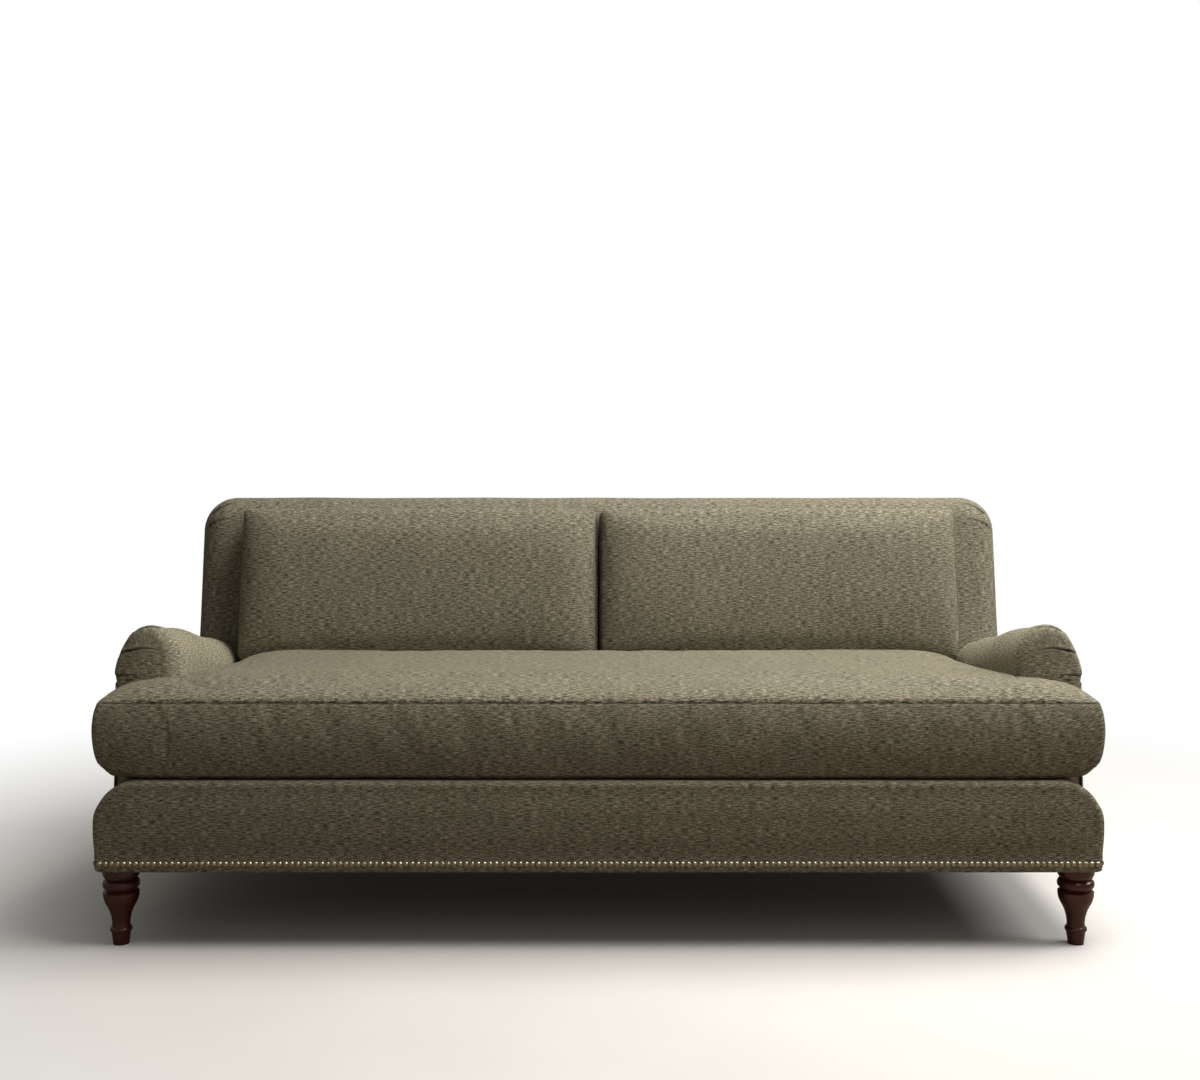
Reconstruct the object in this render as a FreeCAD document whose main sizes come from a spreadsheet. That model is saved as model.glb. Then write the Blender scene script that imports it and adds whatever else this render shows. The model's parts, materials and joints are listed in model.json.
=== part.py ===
import FreeCAD
import Part

import math
import os
import types

from FreeCAD import Placement, Rotation, Vector

# English roll-arm sofa with one T-shaped bench cushion, two loose back cushions and turned legs.
# Frame: origin on the floor under the middle of the sofa, +X to the right seen from the front,
# the front faces -Y, +Z up. Left and right are those of someone who looks at the front.
# All lengths are millimetres and all angles degrees.

DRIVING_SIZES = {
    # whole sofa
    "sofa_width": 2032,
    "sofa_depth": 1016,
    "sofa_height": 862,
    "leg_height": 157,
    "base_height": 181,
    "deck_pitch": 2.35,
    "back_rake": 11,
    "arm_setback": 130,
    # running and lying clearances, and the overrun of cuts
    "soft_gap": 0.3,
    "side_gap": 2,
    "bore_gap": 0.1,
    "cut_overrun": 5,
    # cloth and boards
    "cover_wall": 2.5,
    "cushion_wall": 5,
    "panel_board": 4,
    "dust_cloth": 1.5,
    "rail_board": 20,
    "border_pad": 11,
    "border_corner": 84,
    "border_edge": 7,
    # seat cushion
    "seat_thickness": 157,
    "seat_crown": 38,
    "seat_crown_reach": 210,
    "seat_bulge": 10,
    "seat_corner": 26,
    "seat_notch": 16,
    "seat_setback": 1,
    "seat_rear_gap": 4,
    # back cushions
    "cushion_height": 374,
    "cushion_thickness": 158,
    "cushion_bulge": 12,
    "cushion_corner": 44,
    "cushion_reach_wide": 190,
    "cushion_reach_high": 104,
    "cushion_split": 2,
    # arms
    "arm_thickness": 131.5,
    "arm_crest_height": 637,
    "arm_slope": 11.5,
    "arm_crown_inner": 62,
    "arm_drop_inner": 74,
    "arm_drop_outer": 120,
    "arm_nose": 38,
    "arm_wall": 18,
    "arm_post_width": 90,
    # back
    "back_thickness": 198,
    "back_corner": 84,
    "back_front_edge": 64,
    "back_rear_edge": 50,
    "back_pad": 70,
    "back_post_width": 50,
    "back_post_depth": 60,
    "back_slat_width": 60,
    "back_rail_height": 70,
    # deck and springs
    "deck_pad": 18,
    "spring_wire": 3.8,
    "spring_loop_width": 46,
    "spring_loop_pitch": 26,
    "spring_spacing": 140,
    "clip_length": 30,
    "clip_plate": 1.2,
    "tie_wire": 2.4,
    "web_width": 50,
    "web_thickness": 1.4,
    # rails and blocks
    "cross_rail_height": 90,
    "cross_rail_place": 330,
    "corner_block": 84,
    "corner_block_height": 50,
    # legs
    "leg_inset": 44,
    "leg_radius": 37,
    "glide_height": 3,
    "bolt_radius": 4,
    "bolt_in_leg": 38,
    "bolt_in_block": 56,
    "nut_radius": 10,
    "nut_plate": 1.6,
    # nailheads
    "nail_radius": 5.5,
    "nail_height": 3.2,
    "nail_pitch": 12,
    "nail_above_edge": 15,
    # zips
    "zip_tape_width": 15,
    "zip_tape_thickness": 1,
    "zip_tooth_width": 4.5,
    "zip_tooth_height": 1.2,
    "zip_end_margin": 60,
    "zip_slider_length": 14,
    "zip_slider_width": 9,
    "zip_lip": 1.4,
    "zip_tab_length": 24,
    "zip_above_edge": 70,
}

doc = FreeCAD.newDocument("Sofa")
sheet = doc.addObject("Spreadsheet::Sheet", "Sizes")
for row, (alias, value) in enumerate(DRIVING_SIZES.items(), start=1):
    sheet.set(f"A{row}", alias)
    sheet.set(f"B{row}", str(value))
    sheet.setAlias(f"B{row}", alias)
doc.recompute()


class Size(float):
    """A number that also carries the sheet expression it was worked out from."""

    def __new__(cls, value, text):
        made = super().__new__(cls, value)
        made.text = text
        return made

    def joined(self, sign, other, value, swapped=False):
        left, right = (other, self) if swapped else (self, other)
        return Size(value, f"({text_of(left)} {sign} {text_of(right)})")

    def __add__(self, other):
        return self.joined("+", other, float(self) + float(other))

    def __radd__(self, other):
        return self.joined("+", other, float(other) + float(self), True)

    def __sub__(self, other):
        return self.joined("-", other, float(self) - float(other))

    def __rsub__(self, other):
        return self.joined("-", other, float(other) - float(self), True)

    def __mul__(self, other):
        return self.joined("*", other, float(self) * float(other))

    def __rmul__(self, other):
        return self.joined("*", other, float(other) * float(self), True)

    def __truediv__(self, other):
        return self.joined("/", other, float(self) / float(other))

    def __neg__(self):
        return Size(-float(self), f"(0 - {self.text})")


def text_of(number):
    return number.text if isinstance(number, Size) else repr(float(number))


def sine(angle):
    return Size(math.sin(math.radians(angle)), f"sin({text_of(angle)})")


def cosine(angle):
    return Size(math.cos(math.radians(angle)), f"cos({text_of(angle)})")


def tangent(angle):
    return Size(math.tan(math.radians(angle)), f"tan({text_of(angle)})")


s = types.SimpleNamespace(
    **{alias: Size(float(sheet.get(alias)), f"Sizes.{alias}") for alias in DRIVING_SIZES}
)
sub_parts = []

# Levels and planes that several pieces share
half_depth = s.sofa_depth / 2
front_y = s.nail_height - half_depth
side_x = s.sofa_width / 2 - s.nail_height
base_top = s.leg_height + s.base_height
frame_bottom = s.leg_height + s.dust_cloth
arm_front_y = front_y + s.arm_setback
panel_in_x = side_x - s.panel_board
arm_outer_x = panel_in_x - s.soft_gap
arm_inner_x = arm_outer_x - s.arm_thickness
seat_half = arm_inner_x - s.side_gap
back_half = arm_outer_x

# The back leans by its rake about the rear bottom edge: u runs to the rear, w up along the back.
top_w = (
    s.sofa_height - s.back_front_edge - s.leg_height
    - (s.back_thickness - s.back_front_edge) * sine(s.back_rake)
) / cosine(s.back_rake) + s.back_front_edge
rear_arc_w = top_w - s.back_rear_edge
back_foot_y = (
    half_depth - s.back_rear_edge * (1 - cosine(s.back_rake)) - rear_arc_w * sine(s.back_rake)
)


def back_y(u, w):
    return back_foot_y + u * cosine(s.back_rake) + w * sine(s.back_rake)


def back_z(u, w):
    return s.leg_height - u * sine(s.back_rake) + w * cosine(s.back_rake)


back_place = Placement(
    Vector(0, back_foot_y, s.leg_height), Rotation(Vector(1, 0, 0), -s.back_rake)
)

# The seat deck falls to the rear by its pitch from the top front edge of the base.
seat_place = Placement(
    Vector(0, front_y + s.seat_setback, base_top + s.soft_gap),
    Rotation(Vector(1, 0, 0), -s.deck_pitch),
)

deck_place = Placement(
    Vector(0, front_y, base_top), Rotation(Vector(1, 0, 0), -s.deck_pitch)
)


def deck_z(y):
    """Height of the deck's top at a place along the depth."""
    return base_top - (y - front_y) * tangent(s.deck_pitch)


# The seat cushion reaches from the front of the deck to the foot of the inside back.
inside_foot_y = back_y(-s.back_thickness, 0)
inside_rise = deck_z(inside_foot_y) - back_z(-s.back_thickness, 0)
inside_back_y = inside_foot_y + inside_rise * tangent(s.back_rake)
seat_depth = (
    (inside_back_y - front_y - s.seat_setback) / cosine(s.deck_pitch) - s.seat_rear_gap
)


def keep(made, label):
    made.Label = label
    sub_parts.append(made)
    return made


def block(label, x, y, z, lean=None):
    """A board between its low and high faces; with a lean, y and z are u and w of the back."""
    made = doc.addObject("Part::Box", label)
    for name, (low, high) in zip(("Length", "Width", "Height"), (x, y, z)):
        made.setExpression(name, text_of(high - low))
    base_y, base_z = (back_y(y[0], z[0]), back_z(y[0], z[0])) if lean else (y[0], z[0])
    if lean:
        made.Placement = Placement(Vector(), Rotation(Vector(-1, 0, 0), lean))
        made.setExpression("Placement.Rotation.Angle", text_of(lean))
    for name, place in zip("xyz", (x[0], base_y, base_z)):
        made.setExpression(f"Placement.Base.{name}", text_of(place))
    return made


def cylinder(label, radius, height, x, y, z):
    made = doc.addObject("Part::Cylinder", label)
    made.setExpression("Radius", text_of(radius))
    made.setExpression("Height", text_of(height))
    for name, place in zip("xyz", (x, y, z)):
        made.setExpression(f"Placement.Base.{name}", text_of(place))
    return made


def group(label, pieces):
    """Several like solids in one sub-part."""
    made = doc.addObject("Part::Compound", label)
    made.Links = pieces
    return keep(made, label)


def cut(label, base, tool):
    made = doc.addObject("Part::Cut", label)
    made.Base = base
    made.Tool = tool
    return made


def formed(label, shape, place=None):
    """A sub-part whose form is worked out here from the sheet's sizes."""
    made = doc.addObject("Part::Feature", label)
    made.Shape = shape
    made.Placement = place or Placement()
    return keep(made, label)


def mirrored(span, side):
    """The low and high of a span on the right, or of its mirror image on the left."""
    return span if side > 0 else (-span[1], -span[0])


SIDES = (("left", -1), ("right", 1))


# Outlines and lofts
def rounded_outline(corners, radius, place):
    """A closed wire of lines and arcs round a polygon, with every corner rounded."""
    count = len(corners)
    arcs = []
    for i, corner in enumerate(corners):
        here = Vector(*corner, 0)
        back = (Vector(*corners[i - 1], 0) - here).normalize()
        ahead = (Vector(*corners[(i + 1) % count], 0) - here).normalize()
        half = back.getAngle(ahead) / 2
        middle = (back + ahead).normalize()
        reach = radius / math.tan(half)
        dip = radius / math.sin(half) - radius
        arcs.append((here + back * reach, here + middle * dip, here + ahead * reach))
    edges = []
    for i, arc in enumerate(arcs):
        edges.append(Part.Arc(*(place(p) for p in arc)).toShape())
        edges.append(Part.LineSegment(place(arc[2]), place(arcs[(i + 1) % count][0])).toShape())
    return Part.Wire(edges)


def arched_outline(p):
    """A closed wire up one side, round a corner, across, round a corner and down the other."""
    return Part.Wire([
        Part.LineSegment(p[0], p[1]).toShape(), Part.Arc(p[1], p[2], p[3]).toShape(),
        Part.LineSegment(p[3], p[4]).toShape(), Part.Arc(p[4], p[5], p[6]).toShape(),
        Part.LineSegment(p[6], p[7]).toShape(), Part.LineSegment(p[7], p[0]).toShape(),
    ])


def lofted(wires):
    solid = Part.makeLoft(wires, True, True)
    if solid.Volume < 0:
        solid.reverse()
    return solid


def slab(x, y, z):
    """A plain box between low and high faces, used as a cutter."""
    corner = Vector(x[0], y[0], z[0])
    return Part.makeBox(x[1] - x[0], y[1] - y[0], z[1] - z[0], corner)


def seen_from(place, shape):
    """The shape as it lies in a frame that has this place."""
    moved = shape.copy()
    moved.Placement = place.inverse().multiply(moved.Placement)
    return moved


# A quarter of a round, from its edge to its top: how far in and how far up, as shares.
ROUND_STEPS = 6
ROUND_SHARES = [
    (1 - math.cos(math.pi / 2 * i / ROUND_STEPS), math.sin(math.pi / 2 * i / ROUND_STEPS))
    for i in range(ROUND_STEPS + 1)
]

# Seat cushion: height up its side as a share of the thickness, and draw-in as a share of the bulge.
SEAT_SIDE_SHARES = (
    (0, 3.5), (0.06, 3.1), (0.12, 2.4), (0.17, 1.6), (0.22, 1.2), (0.3, 0.65), (0.4, 0.2), (0.5, 0),
    (0.68, 0), (0.85, 0.3), (0.96, 0.7), (1, 1.1),
)
# The first stretch of its crown, over the ears too: how far in and how far up, as shares
SEAT_EAR_SHARES = ((0.034, 0.2588), (0.134, 0.5), (0.25, 0.6614))


def seat_form(inset):
    """The T-shaped bench cushion drawn in by an inset, front edge at y 0 and underside at z 0."""
    side_reach = side_x - s.side_gap
    lean_back = s.seat_thickness * sine(s.deck_pitch)
    depth_of_ears = s.arm_setback - s.seat_setback - s.side_gap - lean_back

    def outline(draw, notch_draw, level):
        front, rear = draw, seat_depth - draw
        wide, narrow = side_reach - draw, seat_half - draw
        notch = depth_of_ears - notch_draw
        corners = (
            (-wide, front), (wide, front), (wide, notch), (narrow, notch),
            (narrow, rear), (-narrow, rear), (-narrow, notch), (-wide, notch),
        )
        return rounded_outline(corners, s.seat_notch, lambda p: Vector(p.x, p.y, level))

    wires = []
    for height_share, draw_share in SEAT_SIDE_SHARES:
        draw = draw_share * s.seat_bulge + inset
        wires.append(outline(draw, draw, inset + height_share * (s.seat_thickness - 2 * inset)))
    seam = draw
    top = s.seat_thickness - inset
    for reach_share, height_share in SEAT_EAR_SHARES:
        away = seam + reach_share * s.seat_crown_reach
        wires.append(outline(away, seam, top + height_share * s.seat_crown))
    crown_wires = [seat_crown_wire(away + s.side_gap, top)]
    for share, height_share in ROUND_SHARES:
        if share > reach_share:
            away = seam + s.side_gap + share * s.seat_crown_reach
            crown_wires.append(seat_crown_wire(away, top + height_share * s.seat_crown))
    return lofted(wires).fuse(lofted(crown_wires)).removeSplitter()


def seat_crown_wire(away, level):
    wide, front, rear = seat_half - away, away, seat_depth - away
    corners = ((-wide, front), (wide, front), (wide, rear), (-wide, rear))
    return rounded_outline(corners, s.seat_corner, lambda p: Vector(p.x, p.y, level))


# Back cushion: distance from its rear face as a share of the thickness, and the draw-in of its
# boxing as a share of the bulge; the crown goes on from the last of these.
CUSHION_SIDE_SHARES = (
    (0, 1.5), (0.04, 0.9), (0.12, 0.4), (0.24, 0.08), (0.36, 0), (0.5, 0.2), (0.6, 0.55), (0.66, 0.9),
)
seat_rear_y = front_y + s.seat_setback + seat_depth * cosine(s.deck_pitch)
seat_rear_z = base_top + s.seat_thickness - seat_depth * sine(s.deck_pitch)
cushion_rear_u = -s.back_thickness - s.soft_gap
cushion_low_w = (seat_rear_z - s.leg_height) * cosine(s.back_rake) + (
    seat_rear_y - back_foot_y
) * sine(s.back_rake)


def cushion_form(inset):
    """The right-hand back cushion drawn in by an inset, in the leaning frame of the back."""
    outer = arm_inner_x - s.side_gap
    seam_share, seam_draw_share = CUSHION_SIDE_SHARES[-1]
    crown_share = 1 - seam_share
    stations = [(share, draw_share, 0) for share, draw_share in CUSHION_SIDE_SHARES]
    stations += [
        (seam_share + up * crown_share, seam_draw_share, reach) for reach, up in ROUND_SHARES[1:]
    ]
    wires = []
    for depth_share, draw_share, reach_share in stations:
        depth = inset + depth_share * (s.cushion_thickness - 2 * inset)
        draw = draw_share * s.cushion_bulge + inset
        away_x = draw + reach_share * s.cushion_reach_wide
        away_w = draw + reach_share * s.cushion_reach_high
        low_x, high_x = s.cushion_split + away_x, outer - away_x
        low_w = cushion_low_w + away_w
        high_w = cushion_low_w + s.cushion_height - away_w
        corners = ((low_x, low_w), (high_x, low_w), (high_x, high_w), (low_x, high_w))
        wires.append(
            rounded_outline(
                corners, s.cushion_corner,
                lambda p, u=cushion_rear_u - depth: Vector(p.x, u, p.y),
            )
        )
    seat = seat_form(-s.soft_gap - inset)
    seat.Placement = seat_place
    return lofted(wires).cut(seen_from(back_place, seat))


# Where the middle of a quarter round lies between its ends, as a share of each direction
ROUND_MID_SHARE = math.sqrt(0.5)
# The tight arc at the top of an arm's round, as a share of its half width
ARM_TIP_SHARE = 0.75


def round_over(start, crown):
    """Two arcs that leave a start point upwards and reach the crown level, tangent throughout."""
    side = 1 if start.x > crown.x else -1
    wide, tall = abs(start.x - crown.x), crown.z - start.z
    tip = wide * ARM_TIP_SHARE
    flank = (wide ** 2 + (tall - tip) ** 2 - tip ** 2) / (2 * (wide - tip))
    turn = math.asin((tall - tip) / (flank - tip))

    def on_arc(radius, centre_out, centre_up, angle):
        out = centre_out + radius * math.cos(angle)
        return Vector(crown.x + side * out, start.y, start.z + centre_up + radius * math.sin(angle))

    meet = on_arc(flank, wide - flank, 0, turn)
    return [
        Part.Arc(start, on_arc(flank, wide - flank, 0, turn / 2), meet).toShape(),
        Part.Arc(meet, on_arc(tip, 0, tall - tip, (turn + math.pi / 2) / 2), crown).toShape(),
    ]


def arm_section(y, crest, draw, low):
    """The arm's outline across the sofa at one place along its length."""
    inner, outer = arm_inner_x + draw, arm_outer_x - draw
    inner_low, outer_low = Vector(inner, y, low), Vector(outer, y, low)
    inner_high = Vector(inner, y, crest - s.arm_drop_inner)
    outer_high = Vector(outer, y, crest - s.arm_drop_outer)
    crown = Vector(arm_inner_x + s.arm_crown_inner, y, crest - draw)
    edges = [Part.LineSegment(inner_low, inner_high).toShape()]
    edges += round_over(inner_high, crown)
    edges += round_over(outer_high, crown)[::-1]
    edges.append(Part.LineSegment(outer_high, outer_low).toShape())
    edges.append(Part.LineSegment(outer_low, inner_low).toShape())
    return Part.Wire(edges)


def arm_crest(y):
    """Height of the arm's crest, which falls to the rear."""
    return s.arm_crest_height - (y - arm_front_y) * tangent(s.arm_slope)


def arm_form(inset, low):
    """The right arm from a low level to its crest, cut off by the leaning back."""
    start = arm_front_y + s.soft_gap + inset
    nose_end = start + s.arm_nose
    rear = back_y(0, top_w)
    nose = [
        arm_section(start + along * s.arm_nose, arm_crest(start + along * s.arm_nose),
                    inset + (1 - out) * s.arm_nose, low)
        for along, out in ROUND_SHARES
    ]
    straight = [
        arm_section(y, arm_crest(y), inset, low) for y in (nose_end, rear)
    ]
    whole = lofted(nose).fuse(lofted(straight))
    behind = slab(
        (-s.sofa_width, s.sofa_width),
        (s.back_front_edge - s.back_thickness, s.sofa_depth),
        (-s.sofa_height, s.sofa_height),
    ).fuse(slab(
        (-s.sofa_width, back_half - s.back_front_edge),
        (-s.back_thickness - s.soft_gap, s.sofa_depth),
        (-s.sofa_height, s.sofa_height),
    ))
    behind.Placement = back_place
    return whole.cut(behind).cut(rolled_back_edge()).removeSplitter()


def rolled_back_edge():
    """The upright rolled edge of the right of the back, grown by a gap, which the arm meets."""
    radius = s.back_front_edge + s.soft_gap
    roll = Part.makeCylinder(
        radius, 2 * s.sofa_height,
        Vector(back_half - s.back_front_edge, s.back_front_edge - s.back_thickness, -s.sofa_height),
    )
    roll.Placement = back_place.multiply(roll.Placement)
    return roll


def back_form(inset):
    """The upholstered back drawn in by an inset, in its leaning frame, open at the bottom."""
    wide, top = back_half - inset, top_w - inset
    corner = s.back_corner - inset
    mid = corner * (1 - ROUND_MID_SHARE)
    low = back_low_w
    front = inset - s.back_thickness
    p = [
        Vector(-wide, front, low), Vector(-wide, front, top - corner),
        Vector(-wide + mid, front, top - mid), Vector(-wide + corner, front, top),
        Vector(wide - corner, front, top), Vector(wide - mid, front, top - mid),
        Vector(wide, front, top - corner), Vector(wide, front, low),
    ]
    deep = s.back_thickness - 2 * inset
    solid = Part.Face(arched_outline(p)).extrude(Vector(0, deep, 0))

    def rim(at):
        return [
            edge for edge in solid.Edges
            if abs(edge.BoundBox.YMin - at) < s.soft_gap and abs(edge.BoundBox.YMax - at) < s.soft_gap
            and edge.BoundBox.ZMax > low + s.soft_gap
        ]

    solid = solid.makeFillet(s.back_front_edge - inset, rim(front))
    return solid.makeFillet(s.back_rear_edge - inset, rim(front + deep))


# Wooden frame
border_back_y = front_y + s.cover_wall + s.border_pad
front_rail_y = (border_back_y, border_back_y + s.rail_board)
deck_stack = s.cover_wall + s.deck_pad + s.spring_wire + s.clip_plate + 4 * s.soft_gap
front_rail_top = deck_z(front_rail_y[1]) - deck_stack
back_rail_y = (
    back_foot_y - s.panel_board - 2 * s.soft_gap - s.rail_board,
    back_foot_y - s.panel_board - 2 * s.soft_gap,
)
back_rail_top = deck_z(back_rail_y[1]) - deck_stack
rail_out_x = panel_in_x - s.soft_gap
rail_in_x = rail_out_x - s.rail_board
frame_front_u = s.back_pad - s.back_thickness
post_u = (frame_front_u, frame_front_u + s.back_post_depth)
post_top_w = top_w - s.back_pad
post_x = (back_half - s.arm_wall - s.back_post_width, back_half - s.arm_wall)
back_low_w = (back_rail_top - s.leg_height) / cosine(s.back_rake) + s.soft_gap


def corner_waste(label):
    """What the rails lose at the front, where the border's top corners are rounded."""
    past = s.cut_overrun
    whole = slab(
        (-s.sofa_width, s.sofa_width), (front_y - past, arm_front_y), (s.leg_height, base_top + past)
    )
    kept = border_form(s.panel_board + s.soft_gap, s.leg_height - past, arm_front_y + past)
    made = doc.addObject("Part::Feature", label)
    made.Shape = whole.cut(kept)
    return made


def make_base_frame():
    front_rail = block(
        "front_rail_board", (-rail_out_x, rail_out_x), front_rail_y, (frame_bottom, front_rail_top)
    )
    keep(cut("front_rail", front_rail, corner_waste("front_rail_waste")), "front_rail")
    keep(block(
        "back_rail", (-rail_out_x, rail_out_x), back_rail_y, (frame_bottom, back_rail_top)
    ), "back_rail")
    between_y = (front_rail_y[1], back_rail_y[0])
    for name, side in SIDES:
        label = f"{name}_side_rail"
        rail = block(
            f"{label}_board", mirrored((rail_in_x, rail_out_x), side), between_y,
            (frame_bottom, back_rail_top),
        )
        keep(cut(label, rail, corner_waste(f"{label}_waste")), label)
    cross_x = (s.cross_rail_place - s.rail_board / 2, s.cross_rail_place + s.rail_board / 2)
    group("seat_cross_rails", [
        block(
            f"cross_rail_{name}", mirrored(cross_x, side), between_y,
            (frame_bottom, frame_bottom + s.cross_rail_height),
        )
        for name, side in SIDES
    ])


def leg_places():
    """Name, x and y of each leg's axis."""
    leg_x = side_x - s.leg_inset
    return [
        (f"{end}_{name}", leg_x if side > 0 else -leg_x, y)
        for end, y in (("front", front_y + s.leg_inset), ("rear", back_foot_y - s.leg_inset))
        for name, side in SIDES
    ]


def make_corner_blocks():
    blocks = []
    for name, leg_x, leg_y in leg_places():
        x = mirrored((rail_in_x - s.corner_block, rail_in_x), 1 if leg_x > 0 else -1)
        if leg_y < 0:
            y = (front_rail_y[1], front_rail_y[1] + s.corner_block)
        else:
            y = (back_rail_y[0] - s.corner_block, back_rail_y[0])
        wood = block(f"{name}_block", x, y, (frame_bottom, frame_bottom + s.corner_block_height))
        hole = cylinder(
            f"{name}_block_hole", s.bolt_radius + s.bore_gap,
            s.corner_block_height + 2 * s.cut_overrun, leg_x, leg_y, frame_bottom - s.cut_overrun,
        )
        blocks.append(cut(f"{name}_block_bored", wood, hole))
    group("corner_blocks", blocks)


def arm_frame_spans():
    """Across the sofa on the right: the post, the top rail and the tack rail."""
    post = (rail_out_x - s.arm_wall - s.arm_post_width, rail_out_x - s.arm_wall)
    return post, (post[0] + s.arm_wall, post[1] - s.arm_wall), (post[0], post[0] + s.rail_board)


arm_post_y = (arm_front_y + s.arm_nose, arm_front_y + s.arm_nose + s.rail_board)
arm_rail_low = arm_crest(arm_post_y[0]) - s.arm_crown_inner
tack_rail_z = (deck_z(arm_post_y[1]), deck_z(arm_post_y[1]) + 2 * s.rail_board)


def make_arm_frame():
    """Front post, sloping top rail and tack rail of each arm; the rails run back to the posts."""
    behind = block(
        "behind_posts", (-side_x, side_x), (post_u[0], post_u[0] + s.sofa_depth),
        (-s.sofa_height, s.sofa_height), s.back_rake,
    )
    post_span, top_span, tack_span = arm_frame_spans()
    post_head = arm_rail_low - s.rail_board * tangent(s.arm_slope) - s.soft_gap
    far_y = back_y(post_u[1], top_w)
    for name, side in SIDES:
        label = f"{name}_arm_post"
        keep(block(label, mirrored(post_span, side), arm_post_y, (back_rail_top, post_head)), label)
        label = f"{name}_arm_top_rail"
        rail = doc.addObject("Part::Box", f"{label}_board")
        x = mirrored(top_span, side)
        rail.setExpression("Length", text_of(x[1] - x[0]))
        rail.setExpression("Width", text_of((far_y - arm_post_y[0]) / cosine(s.arm_slope)))
        rail.setExpression("Height", text_of(s.rail_board))
        rail.Placement = Placement(Vector(), Rotation(Vector(-1, 0, 0), s.arm_slope))
        rail.setExpression("Placement.Rotation.Angle", text_of(s.arm_slope))
        for axis, place in zip("xyz", (x[0], arm_post_y[0], arm_rail_low)):
            rail.setExpression(f"Placement.Base.{axis}", text_of(place))
        keep(cut(label, rail, behind), label)
        label = f"{name}_arm_tack_rail"
        rail = block(
            f"{label}_board", mirrored(tack_span, side), (arm_post_y[1], far_y), tack_rail_z
        )
        keep(cut(label, rail, behind), label)


def arm_rail_tunnels(side):
    """Room for one arm's rails where they pass through the back's upholstery to its post."""
    spans = arm_frame_spans()
    far_y = s.sofa_depth
    x = mirrored((spans[1][0] - s.soft_gap, spans[1][1] + s.soft_gap), side)
    behind = slab(
        (-s.sofa_width, s.sofa_width), (post_u[0], s.sofa_depth), (-s.sofa_height, s.sofa_height)
    )
    behind.Placement = back_place
    top = slab(x, (0, far_y), (-s.soft_gap, s.rail_board + s.soft_gap))
    top.Placement = Placement(
        Vector(0, arm_post_y[0], arm_rail_low), Rotation(Vector(1, 0, 0), -s.arm_slope)
    )
    x = mirrored((spans[2][0] - s.soft_gap, spans[2][1] + s.soft_gap), side)
    z = (tack_rail_z[0] - s.soft_gap, tack_rail_z[1] + s.soft_gap)
    return top.fuse(slab(x, (arm_post_y[1], far_y), z)).cut(behind)


def make_back_frame():
    foot = doc.addObject("Part::Box", "post_foot_cut")
    foot.setExpression("Length", text_of(s.sofa_width))
    foot.setExpression("Width", text_of(s.sofa_depth))
    foot.setExpression("Height", text_of(s.sofa_height))
    foot.setExpression("Placement.Base.x", text_of(-s.sofa_width / 2))
    foot.setExpression("Placement.Base.z", text_of(back_rail_top - s.sofa_height))
    for name, side in SIDES:
        label = f"{name}_back_post"
        post = block(f"{label}_raw", mirrored(post_x, side), post_u, (0, post_top_w), s.back_rake)
        made = cut(label, post, foot)
        keep(made, label)
    between_x = (-post_x[0], post_x[0])
    board_u = (frame_front_u, frame_front_u + s.rail_board)
    rail_w = (post_top_w - s.back_rail_height, post_top_w)
    keep(block("back_top_rail", between_x, board_u, rail_w, s.back_rake), "back_top_rail")
    low_w = (back_low_w, back_low_w + s.back_rail_height)
    keep(block("back_tack_rail", between_x, board_u, low_w, s.back_rake), "back_tack_rail")
    slat_x = (s.cross_rail_place - s.back_slat_width / 2, s.cross_rail_place + s.back_slat_width / 2)
    group("back_slats", [
        block(f"back_slat_{name}", mirrored(slat_x, side), board_u, (low_w[1], rail_w[0]), s.back_rake)
        for name, side in SIDES
    ])
    return low_w, rail_w


# Springs, clips and webbing: where the tie wires cross the springs, as shares of the springs' length,
# and where the webs stand, as shares of the distance from the middle to a post
TIE_SHARES = (0.35, 0.65)
WEB_SHARES = (-0.84, -0.62, -0.14, 0.14, 0.62, 0.84)


def spring_path(start_y, end_y):
    """A flat zigzag of half-turn bends joined by straight runs, in the plane of the deck."""
    loops = int((end_y - start_y) / s.spring_loop_pitch)
    pitch = (end_y - start_y) / loops
    bend = pitch / 2
    run = s.spring_loop_width / 2 - bend
    edges = []
    side = 1
    for i in range(loops):
        y = start_y + i * pitch
        x_from = -side * run
        x_to = side * run
        edges.append(Part.LineSegment(Vector(x_from, y, 0), Vector(x_to, y, 0)).toShape())
        if i < loops - 1:
            edges.append(half_bend(x_to, y, side, bend, False))
            edges.append(half_bend(x_to, y, side, bend, True))
        side = -side
    return Part.Wire(edges)


def half_bend(x, y, side, bend, second):
    """A quarter of a turn from a run towards the next one, or the quarter that completes it."""
    middle = Vector(x + side * bend, y + bend, 0)
    share = ROUND_MID_SHARE
    if second:
        through = Vector(x + side * bend * share, y + bend * (1 + share), 0)
        return Part.Arc(middle, through, Vector(x, y + 2 * bend, 0)).toShape()
    through = Vector(x + side * bend * share, y + bend * (1 - share), 0)
    return Part.Arc(Vector(x, y, 0), through, middle).toShape()


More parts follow.
